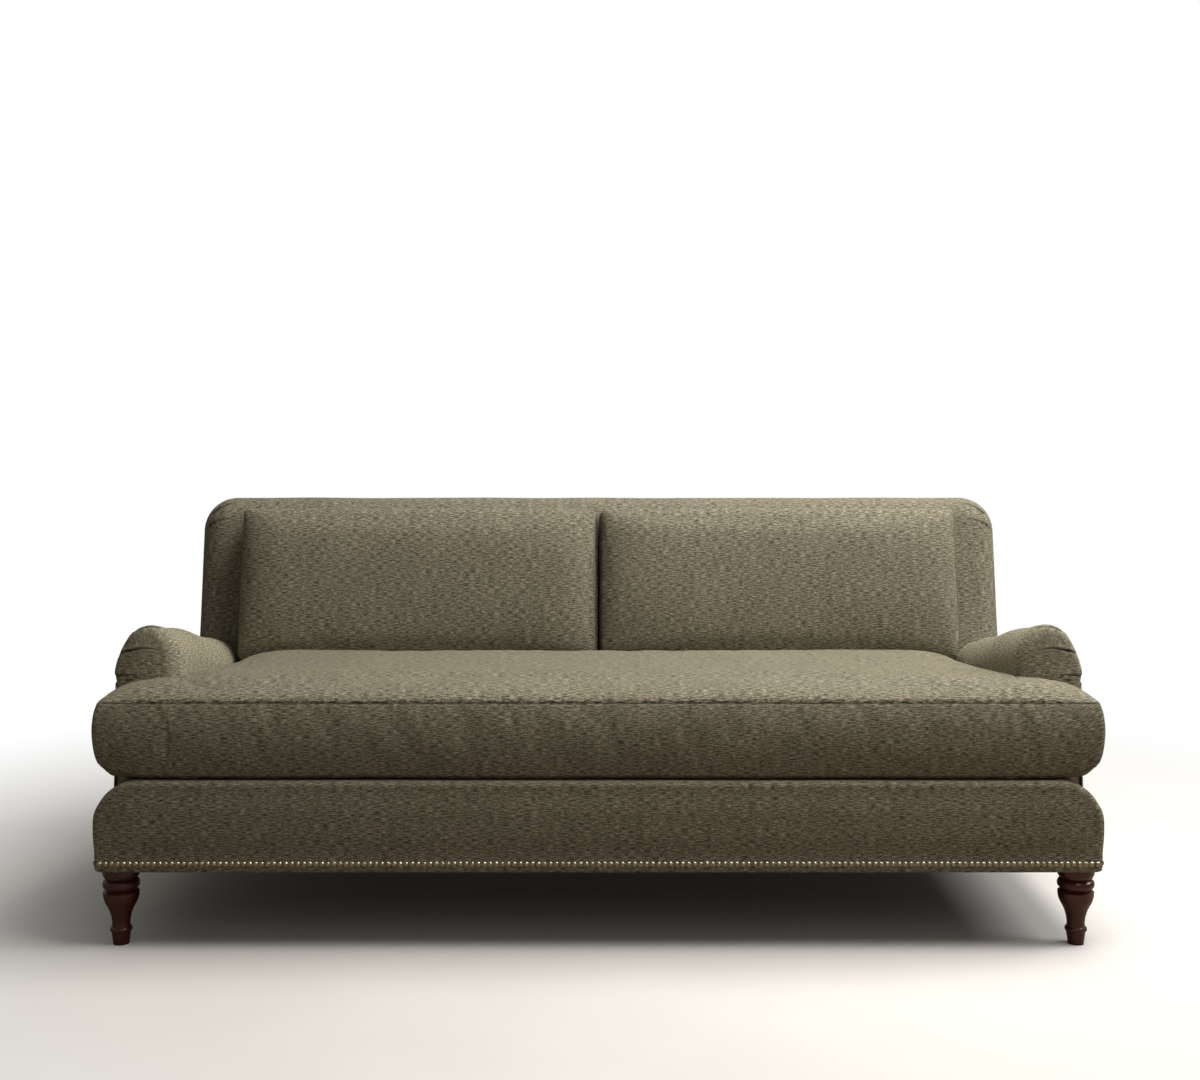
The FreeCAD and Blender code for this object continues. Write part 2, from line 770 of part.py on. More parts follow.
def make_springs():
    start = front_rail_y[0] - front_y + s.rail_board / 2
    end = back_rail_y[1] - front_y - s.rail_board / 2
    path = spring_path(start, end)
    ring = Part.Wire(Part.Circle(
        path.Vertexes[0].Point, Vector(1, 0, 0), s.spring_wire / 2
    ).toShape())
    spring = path.makePipeShell([ring], True, False)
    count = int((2 * seat_half - s.spring_spacing) / s.spring_spacing) + 1
    level = -(s.cover_wall + s.deck_pad + 2 * s.soft_gap + s.spring_wire / 2)
    springs, clips, ties = [], [], []
    low = level - s.spring_wire / 2 - s.soft_gap
    for i in range(count):
        x = (i - (count - 1) / 2) * s.spring_spacing
        springs.append(spring.translated(Vector(x, 0, level)))
        for y in (start, end):
            half = s.clip_length / 2
            clips.append(slab((x - half, x + half), (y - s.rail_board / 4, y + s.rail_board / 4),
                              (low - s.clip_plate, low)))
    tie_low = low - s.tie_wire
    for share in TIE_SHARES:
        y = start + share * (end - start)
        reach = (count - 1) / 2 * s.spring_spacing + s.spring_loop_width / 2
        ties.append(Part.makeCylinder(
            s.tie_wire / 2, 2 * reach, Vector(-reach, y, tie_low + s.tie_wire / 2), Vector(1, 0, 0)
        ))
    formed("seat_springs", Part.Compound(springs), deck_place)
    formed("spring_clips", Part.Compound(clips), deck_place)
    formed("spring_tie_wires", Part.Compound(ties), deck_place)


def make_webbing(low_w, rail_w):
    front = frame_front_u - s.soft_gap
    upright_w = (low_w[0] + s.rail_board, rail_w[1] - s.rail_board)
    places = [share * post_x[0] for share in WEB_SHARES]
    group("back_webbing", [
        block(
            f"web_{i}", (x - s.web_width / 2, x + s.web_width / 2),
            (front - s.web_thickness, front), upright_w, s.back_rake,
        )
        for i, x in enumerate(places)
    ])


# Upholstery on the frame
def deck_front_y():
    return front_rail_y[0] - front_y


def make_deck():
    wide = seat_half
    rear = back_y(-s.back_thickness, 0) - front_y
    cover = (-s.cover_wall, 0)
    pad = (-s.cover_wall - s.soft_gap - s.deck_pad, -s.cover_wall - s.soft_gap)
    near = deck_front_y()
    formed("deck_cover", slab((-wide, wide), (near, rear), cover), deck_place)
    formed("deck_pad", slab((-wide, wide), (near, rear), pad), deck_place)


def border_section(inset, low, y):
    """The outline of the border across the sofa, whose top follows the pitch of the deck."""
    wide, high = side_x - inset, deck_z(y) - inset
    corner = s.border_corner - inset
    mid = corner * (1 - ROUND_MID_SHARE)
    return arched_outline([
        Vector(-wide, y, low), Vector(-wide, y, high - corner),
        Vector(-wide + mid, y, high - mid), Vector(-wide + corner, y, high),
        Vector(wide - corner, y, high), Vector(wide - mid, y, high - mid),
        Vector(wide, y, high - corner), Vector(wide, y, low),
    ])


def border_form(inset, low, rear):
    """The border round the front rail, drawn in by an inset, with rounded top corners."""
    edge = s.border_edge
    wires = [
        border_section(inset + (1 - out) * edge, low, front_y + inset + along * edge)
        for along, out in ROUND_SHARES
    ]
    return lofted(wires + [border_section(inset, low, rear)])


def make_border():
    """The front border's cover and the pad under it, both open to the rear and below."""
    past = s.cut_overrun
    deck_cut = slab(
        (-seat_half - s.soft_gap, seat_half + s.soft_gap),
        (deck_front_y() - s.soft_gap, s.sofa_depth), (-s.base_height, past),
    )
    deck_cut.Placement = deck_place
    cover = border_form(0, s.leg_height, arm_front_y)
    hollow = border_form(s.cover_wall, s.leg_height - past, arm_front_y + past)
    formed("front_border_cover", cover.cut(hollow).cut(deck_cut).removeSplitter())
    pad = border_form(s.cover_wall + s.soft_gap, s.leg_height, arm_front_y)
    rails = slab(
        (-rail_out_x - s.soft_gap, rail_out_x + s.soft_gap),
        (front_rail_y[0] - s.soft_gap, s.sofa_depth), (0, front_rail_top + s.soft_gap),
    ).common(border_form(s.panel_board, 0, arm_front_y + past))
    formed("front_border_pad", pad.cut(rails).cut(deck_cut).removeSplitter())


arm_low = back_rail_top + s.soft_gap


def make_arms():
    """Cover and pad of each arm, hollow round the arm's frame, and the panel on its outside."""
    cover = arm_form(0, arm_low).cut(arm_form(s.cover_wall, arm_low - s.cut_overrun))
    post_span = arm_frame_spans()[0]
    front = arm_post_y[0] - s.soft_gap
    far = s.sofa_depth
    head = arm_rail_low + s.rail_board / cosine(s.arm_slope) + s.soft_gap
    fall = tangent(s.arm_slope)
    room = Part.Face(Part.makePolygon([
        Vector(post_span[0] - s.soft_gap, front, -far),
        Vector(post_span[0] - s.soft_gap, front, head),
        Vector(post_span[0] - s.soft_gap, far, head - (far - front) * fall),
        Vector(post_span[0] - s.soft_gap, far, -far),
        Vector(post_span[0] - s.soft_gap, front, -far),
    ])).extrude(Vector(post_span[1] - post_span[0] + 2 * s.soft_gap, 0, 0))
    pad = arm_form(s.cover_wall + s.soft_gap, arm_low).cut(room).removeSplitter()
    panel = outside_arm_panel()
    for name, side in SIDES:
        for part, shape in (("arm_cover", cover), ("arm_pad", pad), ("outside_arm_panel", panel)):
            formed(f"{name}_{part}", shape if side > 0 else flipped(shape))


def flipped(shape):
    """The same shape on the other side of the sofa's middle plane."""
    return shape.mirror(Vector(), Vector(1, 0, 0))


def outside_arm_panel():
    """The right side's flat panel, under the arm's roll and round to the leaning rear."""
    front = arm_front_y + s.soft_gap

    def head(y):
        return arm_crest(y) - s.arm_drop_outer - s.soft_gap

    climb = cosine(s.back_rake) + sine(s.back_rake) * tangent(s.arm_slope)
    rear_w = (head(back_foot_y) - s.leg_height) / climb
    rear_y = back_y(0, rear_w)
    points = [
        Vector(panel_in_x, front, s.leg_height), Vector(panel_in_x, back_foot_y, s.leg_height),
        Vector(panel_in_x, rear_y, back_z(0, rear_w)), Vector(panel_in_x, front, head(front)),
    ]
    return Part.Face(Part.makePolygon(points + points[:1])).extrude(Vector(s.panel_board, 0, 0))


def make_back():
    """Cover and pad of the inside back, round the frame, and the panels that close the rear."""
    gap = s.soft_gap
    flat_x = back_half - s.back_rear_edge
    flat_w = top_w - s.back_rear_edge
    behind = s.sofa_depth
    panel_room = slab(
        (-flat_x - gap, flat_x + gap), (-s.panel_board - gap, behind), (-behind, flat_w + gap)
    )
    cover = back_form(0).cut(lowered(back_form(s.cover_wall))).cut(panel_room)
    frame_room = slab(
        (-post_x[1] - gap, post_x[1] + gap),
        (frame_front_u - s.web_thickness - 2 * gap, behind), (-behind, post_top_w + gap),
    )
    pad = back_form(s.cover_wall + gap).cut(frame_room).cut(panel_room)
    for _, side in SIDES:
        tunnels = seen_from(back_place, arm_rail_tunnels(side))
        cover = cover.cut(tunnels)
        pad = pad.cut(tunnels)
    formed("inside_back_cover", cover.removeSplitter(), back_place)
    formed("inside_back_pad", pad.removeSplitter(), back_place)
    thickness = (-s.panel_board, Size(0, "0"))
    keep(block(
        "outside_back_panel", (-flat_x, flat_x), thickness, (back_low_w, flat_w), s.back_rake
    ), "outside_back_panel")
    low_x = panel_in_x - gap
    keep(block(
        "rear_base_panel", (-low_x, low_x), thickness, (Size(0, "0"), back_low_w - gap), s.back_rake
    ), "rear_base_panel")


def lowered(shape):
    """The shape made open at the bottom by a second copy pulled down past it."""
    return shape.fuse(shape.translated(Vector(0, 0, -s.cut_overrun)))


def make_dust_cover():
    sheet_cloth = block(
        "dust_sheet", (-rail_out_x, rail_out_x), (front_rail_y[0], back_rail_y[1]),
        (s.leg_height, frame_bottom),
    )
    holes = doc.addObject("Part::Compound", "dust_holes")
    holes.Links = [
        cylinder(
            f"{name}_dust_hole", s.bolt_radius + s.bore_gap, s.dust_cloth + 2 * s.cut_overrun,
            x, y, s.leg_height - s.cut_overrun,
        )
        for name, x, y in leg_places()
    ]
    keep(cut("dust_cover", sheet_cloth, holes), "dust_cover")


# Legs: each stretch of the turned outline ends at a share of the leg's height down from its top
# and a share of its largest radius; a round stretch also passes through a middle place.
LEG_OUTLINE_SHARES = (
    ((0.085, 1), None),
    ((0.159, 0.81), (0.13, 0.92)),
    ((0.288, 0.83), (0.223, 1)),
    ((0.305, 0.795), None),
    ((0.327, 0.97), None),
    ((0.5, 0.78), (0.4, 0.945)),
    ((0.7, 0.497), (0.6, 0.59)),
    ((0.79, 0.5), (0.745, 0.482)),
    ((0.797, 0.56), None),
    ((0.854, 0.53), (0.826, 0.598)),
    ((0.862, 0.515), None),
    ((1, 0.43), None),
)


def make_legs():
    tall = s.leg_height - s.glide_height
    hole = s.bolt_radius + s.bore_gap
    for name, leg_x, leg_y in leg_places():
        body = doc.addObject("PartDesign::Body", f"{name}_leg")
        sketch = body.newObject("Sketcher::SketchObject", f"{name}_leg_outline")
        plane = [f for f in body.Origin.OriginFeatures if f.Role == "XZ_Plane"][0]
        sketch.AttachmentSupport = [(plane, "")]
        sketch.MapMode = "FlatFace"

        def at(shares):
            return Vector(shares[1] * s.leg_radius, -shares[0] * tall, 0)

        here = at((0, LEG_OUTLINE_SHARES[0][0][1]))
        bottom = -(s.bolt_in_leg + s.cut_overrun)
        inside = [Vector(0, bottom, 0), Vector(hole, bottom, 0), Vector(hole, 0, 0), here]
        geometry = [Part.LineSegment(a, b) for a, b in zip(inside, inside[1:])]
        for end, through in LEG_OUTLINE_SHARES:
            if through:
                geometry.append(Part.Arc(here, at(through), at(end)))
            else:
                geometry.append(Part.LineSegment(here, at(end)))
            here = at(end)
        geometry.append(Part.LineSegment(here, Vector(0, -tall, 0)))
        geometry.append(Part.LineSegment(Vector(0, -tall, 0), inside[0]))
        sketch.addGeometry(geometry, False)
        turned = body.newObject("PartDesign::Revolution", f"{name}_leg_turning")
        turned.Profile = sketch
        turned.ReferenceAxis = (sketch, ["V_Axis"])
        turned.Angle = 360
        body.Tip = turned
        for axis, place in zip("xyz", (leg_x, leg_y, s.leg_height)):
            body.setExpression(f"Placement.Base.{axis}", text_of(place))
        keep(body, f"{name}_leg")


def make_leg_fixings():
    """Bolts from each leg through its corner block, the nuts on the blocks and the floor glides."""
    bolts, nuts, glides = [], [], []
    nut_low = frame_bottom + s.corner_block_height
    for name, x, y in leg_places():
        bolts.append(cylinder(
            f"{name}_bolt", s.bolt_radius, s.bolt_in_leg + s.bolt_in_block, x, y,
            s.leg_height - s.bolt_in_leg,
        ))
        plate = cylinder(f"{name}_nut_plate", s.nut_radius, s.nut_plate, x, y, nut_low)
        bore = cylinder(
            f"{name}_nut_bore", s.bolt_radius + s.bore_gap, s.nut_plate + 2 * s.cut_overrun, x, y,
            nut_low - s.cut_overrun,
        )
        nuts.append(cut(f"{name}_nut", plate, bore))
        toe = s.leg_radius * LEG_OUTLINE_SHARES[-1][0][1]
        glides.append(cylinder(f"{name}_glide", toe, s.glide_height, x, y, Size(0, "0")))
    group("leg_bolts", bolts)
    group("leg_nuts", nuts)
    group("leg_glides", glides)


def nail_head(place, direction):
    ball = (s.nail_radius ** 2 + s.nail_height ** 2) / (2 * s.nail_height)
    low = math.degrees(math.asin((ball - s.nail_height) / ball))
    head = Part.makeSphere(ball, Vector(), Vector(0, 0, 1), low, 90, 360)
    head.translate(Vector(0, 0, s.nail_height - ball))
    head.Placement = Placement(place, Rotation(Vector(0, 0, 1), direction)).multiply(head.Placement)
    return head


def nail_row(start, end, place, direction):
    """Evenly spaced domed heads, as near to the pitch as the row's length allows."""
    count = int((end - start) / s.nail_pitch) + 1
    step = (end - start) / (count - 1)
    return [nail_head(place(start + i * step), direction) for i in range(count)]


def make_nails():
    level = s.leg_height + s.nail_above_edge
    end = side_x - s.border_edge - s.nail_radius
    formed("front_nailheads", Part.Compound(nail_row(
        -end, end, lambda x: Vector(x, front_y, level), Vector(0, -1, 0)
    )))
    first = front_y + s.border_edge + s.nail_radius
    last = back_foot_y - s.border_edge
    side_row = Part.Compound([
        head
        for low, high in (
            (first, arm_front_y - s.nail_radius), (arm_front_y + s.nail_radius + s.soft_gap, last)
        )
        for head in nail_row(
            low, high, lambda y: Vector(side_x, y, level), Vector(1, 0, 0)
        )
    ])
    for name, side in SIDES:
        formed(f"{name}_nailheads", side_row if side > 0 else flipped(side_row))


# Loose cushions and their zips
def zip_parts(label, start, end, place):
    """Tape with its row of teeth, and a slider, in the wall of a cover: x along, y outwards."""
    gap = s.soft_gap
    tape_y = (gap, gap + s.zip_tape_thickness)
    tooth_y = (tape_y[1], tape_y[1] + s.zip_tooth_height)
    half = s.zip_tape_width / 2
    tooth = s.zip_tooth_width / 2
    tape = slab((start + gap, end - gap), tape_y, (-half, half))
    tape = tape.fuse(slab((start + gap, end - gap), tooth_y, (-tooth, tooth))).removeSplitter()
    slider_half = s.zip_slider_width / 2
    x = (start + s.zip_lip, start + s.zip_lip + s.zip_slider_length)
    top = (tooth_y[1] + gap, tooth_y[1] + gap + s.zip_lip)
    slider = slab(x, (tape_y[1] + gap, top[1]), (-slider_half, slider_half))
    channel = slab(
        (x[0] - s.cut_overrun, x[1] + s.cut_overrun), (0, top[0]), (-tooth - gap, tooth + gap)
    )
    tab = slab((x[1] - gap, x[1] + s.zip_tab_length), top, (-tooth, tooth))
    formed(f"{label}_zip", tape, place)
    formed(f"{label}_zip_slider", slider.cut(channel).fuse(tab).removeSplitter(), place)


def zip_slot(start, end):
    half = s.zip_tape_width / 2 + s.soft_gap
    return slab((start, end), (-s.soft_gap, s.cushion_wall + s.cut_overrun), (-half, half))


def make_seat_cushion():
    wall, gap = s.cushion_wall, s.soft_gap
    end = seat_half - s.seat_notch - s.zip_end_margin
    zip_place = Placement(
        Vector(0, seat_depth - wall, s.seat_thickness / 2), Rotation()
    )
    slot = zip_slot(-end, end)
    slot.Placement = zip_place
    cover = seat_form(0).cut(seat_form(wall)).cut(slot)
    formed("seat_cushion_cover", cover, seat_place)
    formed("seat_cushion_core", seat_form(wall + gap), seat_place)
    zip_parts("seat_cushion", -end, end, seat_place.multiply(zip_place))


def make_back_cushions():
    wall, gap = s.cushion_wall, s.soft_gap
    outer = cushion_form(0)
    inner = cushion_form(wall)
    core = cushion_form(wall + gap)
    margin = s.cushion_corner + s.zip_end_margin
    low_x, high_x = s.cushion_split + margin, arm_inner_x - s.side_gap - margin
    for name, side in SIDES:
        start, end = mirrored((low_x, high_x), side)
        zip_place = Placement(
            Vector(0, cushion_rear_u - wall, cushion_low_w + s.zip_above_edge), Rotation()
        )
        slot = zip_slot(start, end)
        slot.Placement = zip_place
        cover = outer.cut(inner)
        label = f"{name}_back_cushion"
        formed(f"{label}_cover", (cover if side > 0 else flipped(cover)).cut(slot), back_place)
        formed(f"{label}_core", core if side > 0 else flipped(core), back_place)
        zip_parts(label, start, end, back_place.multiply(zip_place))


make_base_frame()
make_corner_blocks()
make_arm_frame()
low_rail_w, top_rail_w = make_back_frame()
make_springs()
make_webbing(low_rail_w, top_rail_w)
make_deck()
make_border()
make_arms()
make_back()
make_dust_cover()
make_legs()
make_leg_fixings()
make_nails()
make_seat_cushion()
make_back_cushions()
doc.recompute()

faults = [
    f"{made.Label}: {made.State}" for made in doc.Objects
    if {"Invalid", "Error"} & set(made.State)
]
for made in sub_parts:
    if made.Shape.isNull() or not made.Shape.isValid():
        faults.append(f"{made.Label}: no valid shape")
if faults:
    raise RuntimeError("; ".join(faults))

os.makedirs("parts", exist_ok=True)
for made in sub_parts:
    made.Shape.exportStep(os.path.join("parts", f"{made.Label}.step"))
print(len(sub_parts), "sub-parts")
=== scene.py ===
"""Upholstery, finishes and studio of a roll-arm sofa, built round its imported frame.

Metres throughout: +X right, the front faces -Y, +Z up. Two leaning frames are used: the deck's,
which falls to the rear, and the back's, which leans to the rear. Left pieces mirror the right ones.
"""

import json
import math

import bpy
import numpy as np
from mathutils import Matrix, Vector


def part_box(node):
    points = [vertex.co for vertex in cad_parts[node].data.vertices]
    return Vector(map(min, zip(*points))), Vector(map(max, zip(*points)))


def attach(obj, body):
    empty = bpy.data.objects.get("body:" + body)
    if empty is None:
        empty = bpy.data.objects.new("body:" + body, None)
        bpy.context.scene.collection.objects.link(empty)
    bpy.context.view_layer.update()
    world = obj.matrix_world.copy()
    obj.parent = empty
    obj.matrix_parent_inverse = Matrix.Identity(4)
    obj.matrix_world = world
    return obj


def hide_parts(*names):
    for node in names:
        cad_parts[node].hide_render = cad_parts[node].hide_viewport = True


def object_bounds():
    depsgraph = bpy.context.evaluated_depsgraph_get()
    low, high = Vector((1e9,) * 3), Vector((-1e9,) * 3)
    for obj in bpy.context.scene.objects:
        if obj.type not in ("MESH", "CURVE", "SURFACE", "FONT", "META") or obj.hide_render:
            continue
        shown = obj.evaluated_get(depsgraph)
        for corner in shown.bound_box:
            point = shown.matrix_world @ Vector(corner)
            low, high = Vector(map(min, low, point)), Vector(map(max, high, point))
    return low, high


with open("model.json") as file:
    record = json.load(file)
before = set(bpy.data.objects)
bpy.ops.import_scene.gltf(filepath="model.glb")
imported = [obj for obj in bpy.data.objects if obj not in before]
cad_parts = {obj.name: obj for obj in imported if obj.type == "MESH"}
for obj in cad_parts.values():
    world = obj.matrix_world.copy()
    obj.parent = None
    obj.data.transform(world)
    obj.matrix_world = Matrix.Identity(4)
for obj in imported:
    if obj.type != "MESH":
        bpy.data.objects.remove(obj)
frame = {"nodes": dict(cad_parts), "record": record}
CAD_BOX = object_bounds()

bl_info = {
    "name": "Roll-arm sofa",
    "version": (1, 0, 0),
    "blender": (4, 5, 0),
    "location": "3D View > Sidebar > Sofa",
    "description": "Upholstery, finishes and studio for the roll-arm sofa",
    "category": "Object",
}

# The picture's size, the column of the sofa's middle in it and the row of its horizon, in pixels
IMAGE_WIDTH, IMAGE_HEIGHT = 1200, 1080
MIDDLE_COLUMN, HORIZON_ROW = 598.5, 420
SENSOR_MM = 36
# Places nearer to each other than this are one place, in metres
NEAR = 1e-6


# ---- Places -------------------------------------------------------------------------------------

class Lean:
    """A frame turned about X by an angle, so that its second and third axes lean."""

    def __init__(self, degrees, origin=(0.0, 0.0, 0.0)):
        c, s = math.cos(math.radians(degrees)), math.sin(math.radians(degrees))
        self.turn = np.array([[1, 0, 0], [0, c, -s], [0, s, c]])
        self.origin = np.array(origin, float)

    def out(self, local):
        return local @ self.turn + self.origin

    def into(self, world):
        return (world - self.origin) @ self.turn.T


def read(items, field, width=3):
    """A field of every item of a mesh, as the rows of an array."""
    values = np.empty(len(items) * width, np.float32)
    items.foreach_get(field, values)
    return values.reshape(-1, width).astype(float)


def node_points(name):
    return read(frame["nodes"][name].data.vertices, "co")


def leaning_box(name, lean):
    """The lowest and the highest places of a frame node along the axes of a leaning frame."""
    local = lean.into(node_points(name))
    return local.min(0), local.max(0)


DECK_PITCH, BACK_RAKE = 2.35, 11.0

# The deck's frame: origin at the middle of the seat cushion's front edge, on its underside
_low, _high = leaning_box("seat_cushion_cover", Lean(DECK_PITCH))
DECK = Lean(DECK_PITCH, np.array([0, _low[1], _low[2]]) @ Lean(DECK_PITCH).turn)
SEAT_LOW, SEAT_HIGH = leaning_box("seat_cushion_cover", DECK)

# The back's frame: origin at the rear bottom edge of the sofa
_low, _high = leaning_box("rear_base_panel", Lean(BACK_RAKE))
BACK = Lean(BACK_RAKE, np.array([0, _high[1], _low[2]]) @ Lean(BACK_RAKE).turn)
BACK_LOW, BACK_HIGH = leaning_box("inside_back_cover", BACK)
CUSHION_LOW, CUSHION_HIGH = leaning_box("right_back_cushion_cover", BACK)

BORDER_LOW, BORDER_HIGH = (np.array(v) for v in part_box("front_border_cover"))
ARM_LOW, ARM_HIGH = (np.array(v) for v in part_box("right_arm_cover"))
PANEL_LOW, PANEL_HIGH = (np.array(v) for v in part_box("right_outside_arm_panel"))


# ---- Settings -----------------------------------------------------------------------------------

def length(name, description, default, low=0.0):
    return bpy.props.FloatProperty(
        name=name, description=description, default=default, min=low, unit="LENGTH", precision=4
    )


def share(name, description, default, high=1.0):
    return bpy.props.FloatProperty(
        name=name, description=description, default=default, min=0.0, max=high, subtype="FACTOR"
    )


def colour(name, description, default):
    return bpy.props.StringProperty(name=name, description=description, default=default)


def power(name, place, default):
    return bpy.props.FloatProperty(
        name=name, description=f"Power of the soft light {place}", default=default, unit="POWER"
    )


class SofaFormSettings(bpy.types.PropertyGroup):
    grid: length("Grid", "Distance between the rows of a cushion's surface", 0.0125, 0.004)
    seam_depth: length("Seam depth", "How far a seam is drawn into the stuffing", 0.0015)
    seat_crown: length("Seat crown", "Rise of the seat cushion from its seam to its middle", 0.0415)
    seat_reach: length("Seat crown reach", "From the seam to where the seat is level", 0.21, 0.02)
    seat_lip: length("Seat lip", "The same at the front and the ends, for a plump edge", 0.15, 0.02)
    seat_proud: length("Seat overhang", "How far the seat's ends bulge over its solid", 0.0105)
    seat_low_seam: length("Low seam height", "From the seat's underside to its lower seam", 0.005)
    seat_end_lift: length("End lift", "How far the lower seam rises towards the seat's ends", 0.026)
    back_crown: length("Back cushion crown", "Rise of a back cushion's face over its seam", 0.05)
    growth: share("Cloth growth", "How much longer the cloth is than its first form", 0.012, 0.1)
    cap: length("Swell limit", "How far the air pressure may move the cloth", 0.006)
    pleat_depth: length("Pleat depth", "Depth of the folds at the arms and the back", 0.0018)
    pleat_width: length("Pleat width", "Half of the width of a fold at its open end", 0.0026, 0.001)
    arm_bulge: length("Arm bulge", "How far the arm's roll hangs over its outside panel", 0.006)


class SofaFinishSettings(bpy.types.PropertyGroup):
    yarn_dark: colour("Dark yarn", "Olive yarn in the valleys of the weave, sRGB", "#48443a")
    yarn_mid: colour("Middle yarn", "Main moss yarn, sRGB", "#7d7866")
    yarn_light: colour("Light yarn", "Sandy slub on the ridges, sRGB", "#b4af9c")
    slub_length: length("Slub length", "Length of the thick places in the weft", 0.015, 0.001)
    slub_height: length("Slub height", "Height of one slub", 0.0017, 0.0005)
    leg_dark: colour("Leg dark", "Dark grain of the stained legs, sRGB", "#36110a")
    leg_light: colour("Leg light", "Light grain of the stained legs, sRGB", "#5e2216")
    nail_bright: colour("Nail bright", "Rubbed tops of the nailheads, sRGB", "#f3ead2")
    nail_dark: colour("Nail dark", "Antiqued hollows of the nailheads, sRGB", "#8c7d5c")


class SofaStageSettings(bpy.types.PropertyGroup):
    eye_height: length("Eye height", "Height of the lens above the floor", 1.062)
    eye_distance: length("Eye distance", "From the front of the sofa to the lens", 3.1)
    lens: bpy.props.FloatProperty(
        name="Lens", description="Focal length on a 36 mm sensor", default=46.5, min=10
    )
    key_power: power("Key light", "overhead", 98)
    side_power: power("Side light", "from the right", 52)
    fill_power: power("Fill light", "from the front", 5)


def form():
    return bpy.context.scene.sofa_form


def finish():
    return bpy.context.scene.sofa_finish


# ---- Grids --------------------------------------------------------------------------------------

def stations(low, high, step, near, nominal=None):
    """Places from low to high: the near distances from both ends, and even steps between them, as
    many as a nominal length asks for, so that outlines that differ a little keep the same grid."""
    near = np.asarray(near, float)
    inner_low, inner_high = low + near[-1], high - near[-1]
    count = max(1, int(round(((nominal or high - low) - 2 * near[-1]) / step)))
    even = np.linspace(inner_low, inner_high, count + 1)
    return np.concatenate([low + near[:-1], even, (high - near[:-1])[::-1]])


# Distances of a grid's first places from its edge
EDGE_STEPS = (0.0, 0.0016, 0.004, 0.008, 0.013, 0.02, 0.03)


def round_corner(points, corner, away, radius):
    """Bends a square corner of a plan to an arc: inside the corner's square, with a and b from 0 at
    its inner lines to 1 at its outer lines, a becomes a * sqrt(1 - b*b/2) and b the same with a."""
    a = 1 - (corner[0] - points[:, 0]) * away[0] / radius
    b = 1 - (corner[1] - points[:, 1]) * away[1] / radius
    inside = (a > 0) & (b > 0)
    a, b = np.clip(a, 0, 1), np.clip(b, 0, 1)
    bent_a = a * np.sqrt(1 - b * b / 2)
    bent_b = b * np.sqrt(1 - a * a / 2)
    bent = np.stack([
        corner[0] - (1 - bent_a) * radius * away[0], corner[1] - (1 - bent_b) * radius * away[1]
    ], 1)
    return np.where(inside[:, None], bent, points)


def quads(grid):
    """The corners of each cell of a grid of numbers or places, facing out of rows x columns."""
    cells = np.stack([grid[:-1, :-1], grid[:-1, 1:], grid[1:, 1:], grid[1:, :-1]], 2)
    return cells.reshape(-1, *cells.shape[2:])


def join(points):
    """Joins places that coincide: gives those that stay, and each old place's number in them."""
    kept, back = np.unique(np.round(points, 6), axis=0, return_inverse=True)
    return kept, back.reshape(-1)


def run_down(grid):
    """Distance from the first row to every row of a grid of places, down each column."""
    steps = np.linalg.norm(np.diff(grid, axis=0), axis=-1)
    return np.concatenate([np.zeros((1, *steps.shape[1:])), np.cumsum(steps, axis=0)])


class Plan:
    """A flat outline filled with quads: patches of grid lines that share their border places, with
    rounded corners, and the rim's places in order, anticlockwise about a centre. With an open low
    side, its straight lower edge isn't part of the rim."""

    def __init__(self, patches, corners, radius, centre, open_low=None):
        points, cells, start = [], [], 0
        for xs, ys in patches:
            gx, gy = np.meshgrid(xs, ys, indexing="ij")
            cells.append(quads(start + np.arange(gx.size).reshape(gx.shape))[:, [0, 3, 2, 1]])
            points.append(np.stack([gx.ravel(), gy.ravel()], 1))
            start += gx.size
        points, number = join(np.concatenate(points))
        self.quads = number[np.concatenate(cells)]
        sides = np.sort(np.concatenate([self.quads[:, [i, (i + 1) % 4]] for i in range(4)]), axis=1)
        sides, uses = np.unique(sides, axis=0, return_counts=True)
        rim = np.unique(sides[uses == 1])
        self.closed = open_low is None
        if not self.closed:
            ends = np.abs(points[rim, 0]) > np.abs(points[:, 0]).max() - NEAR
            rim = rim[(points[rim, 1] > open_low + NEAR) | ends]
        angle = np.arctan2(points[rim, 1] - centre[1], points[rim, 0] - centre[0])
        if not self.closed:
            angle = np.where(angle < -NEAR, angle + 2 * math.pi, angle)
        self.chain = rim[np.argsort(angle)]
        self.square = points[self.chain]
        for corner, away in corners:
            points = round_corner(points, corner, away, radius)
        self.points = points
        rim = points[self.chain]
        if self.closed:
            along = np.roll(rim, -1, 0) - np.roll(rim, 1, 0)
        else:
            along = np.gradient(rim, axis=0)
        along /= np.linalg.norm(along, axis=1)[:, None]
        self.outward = np.stack([along[:, 1], -along[:, 0]], 1)

    def arc(self):
        """Distance along the rim at each place, and again at the first place of a closed rim."""
        rim = self.points[self.chain]
        return run_down(np.vstack([rim, rim[:1]]) if self.closed else rim)


def put_mesh(name, points, faces, uv, material):
    """A new object from arrays: corners, quads and each quad corner's place on the cloth."""
    mesh = bpy.data.meshes.new(name)
    mesh.from_pydata(points.tolist(), [], faces.tolist())
    mesh.polygons.foreach_set("use_smooth", np.ones(len(faces), bool))
    layer = mesh.uv_layers.new(name="Cloth")
    layer.data.foreach_set("uv", uv.astype(np.float32).ravel())
    # every place keeps a Fold value: its share of painted shade in seams and folds
    mesh.attributes.new("Fold", "FLOAT", "POINT")
    mesh.materials.append(material)
    made = bpy.data.objects.new(name, mesh)
    bpy.context.scene.collection.objects.link(made)
    mesh.update()
    return made


def shade_fold(obj, amount):
    """Keeps how deep in a seam or fold each place lies, from 0 to 1, for the painted shade that
    darkens the cloth's colour there.
    """
    layer = obj.data.attributes["Fold"].data
    deepest = np.maximum(read(layer, "value", 1)[:, 0], amount)
    layer.foreach_set("value", deepest.astype(np.float32))


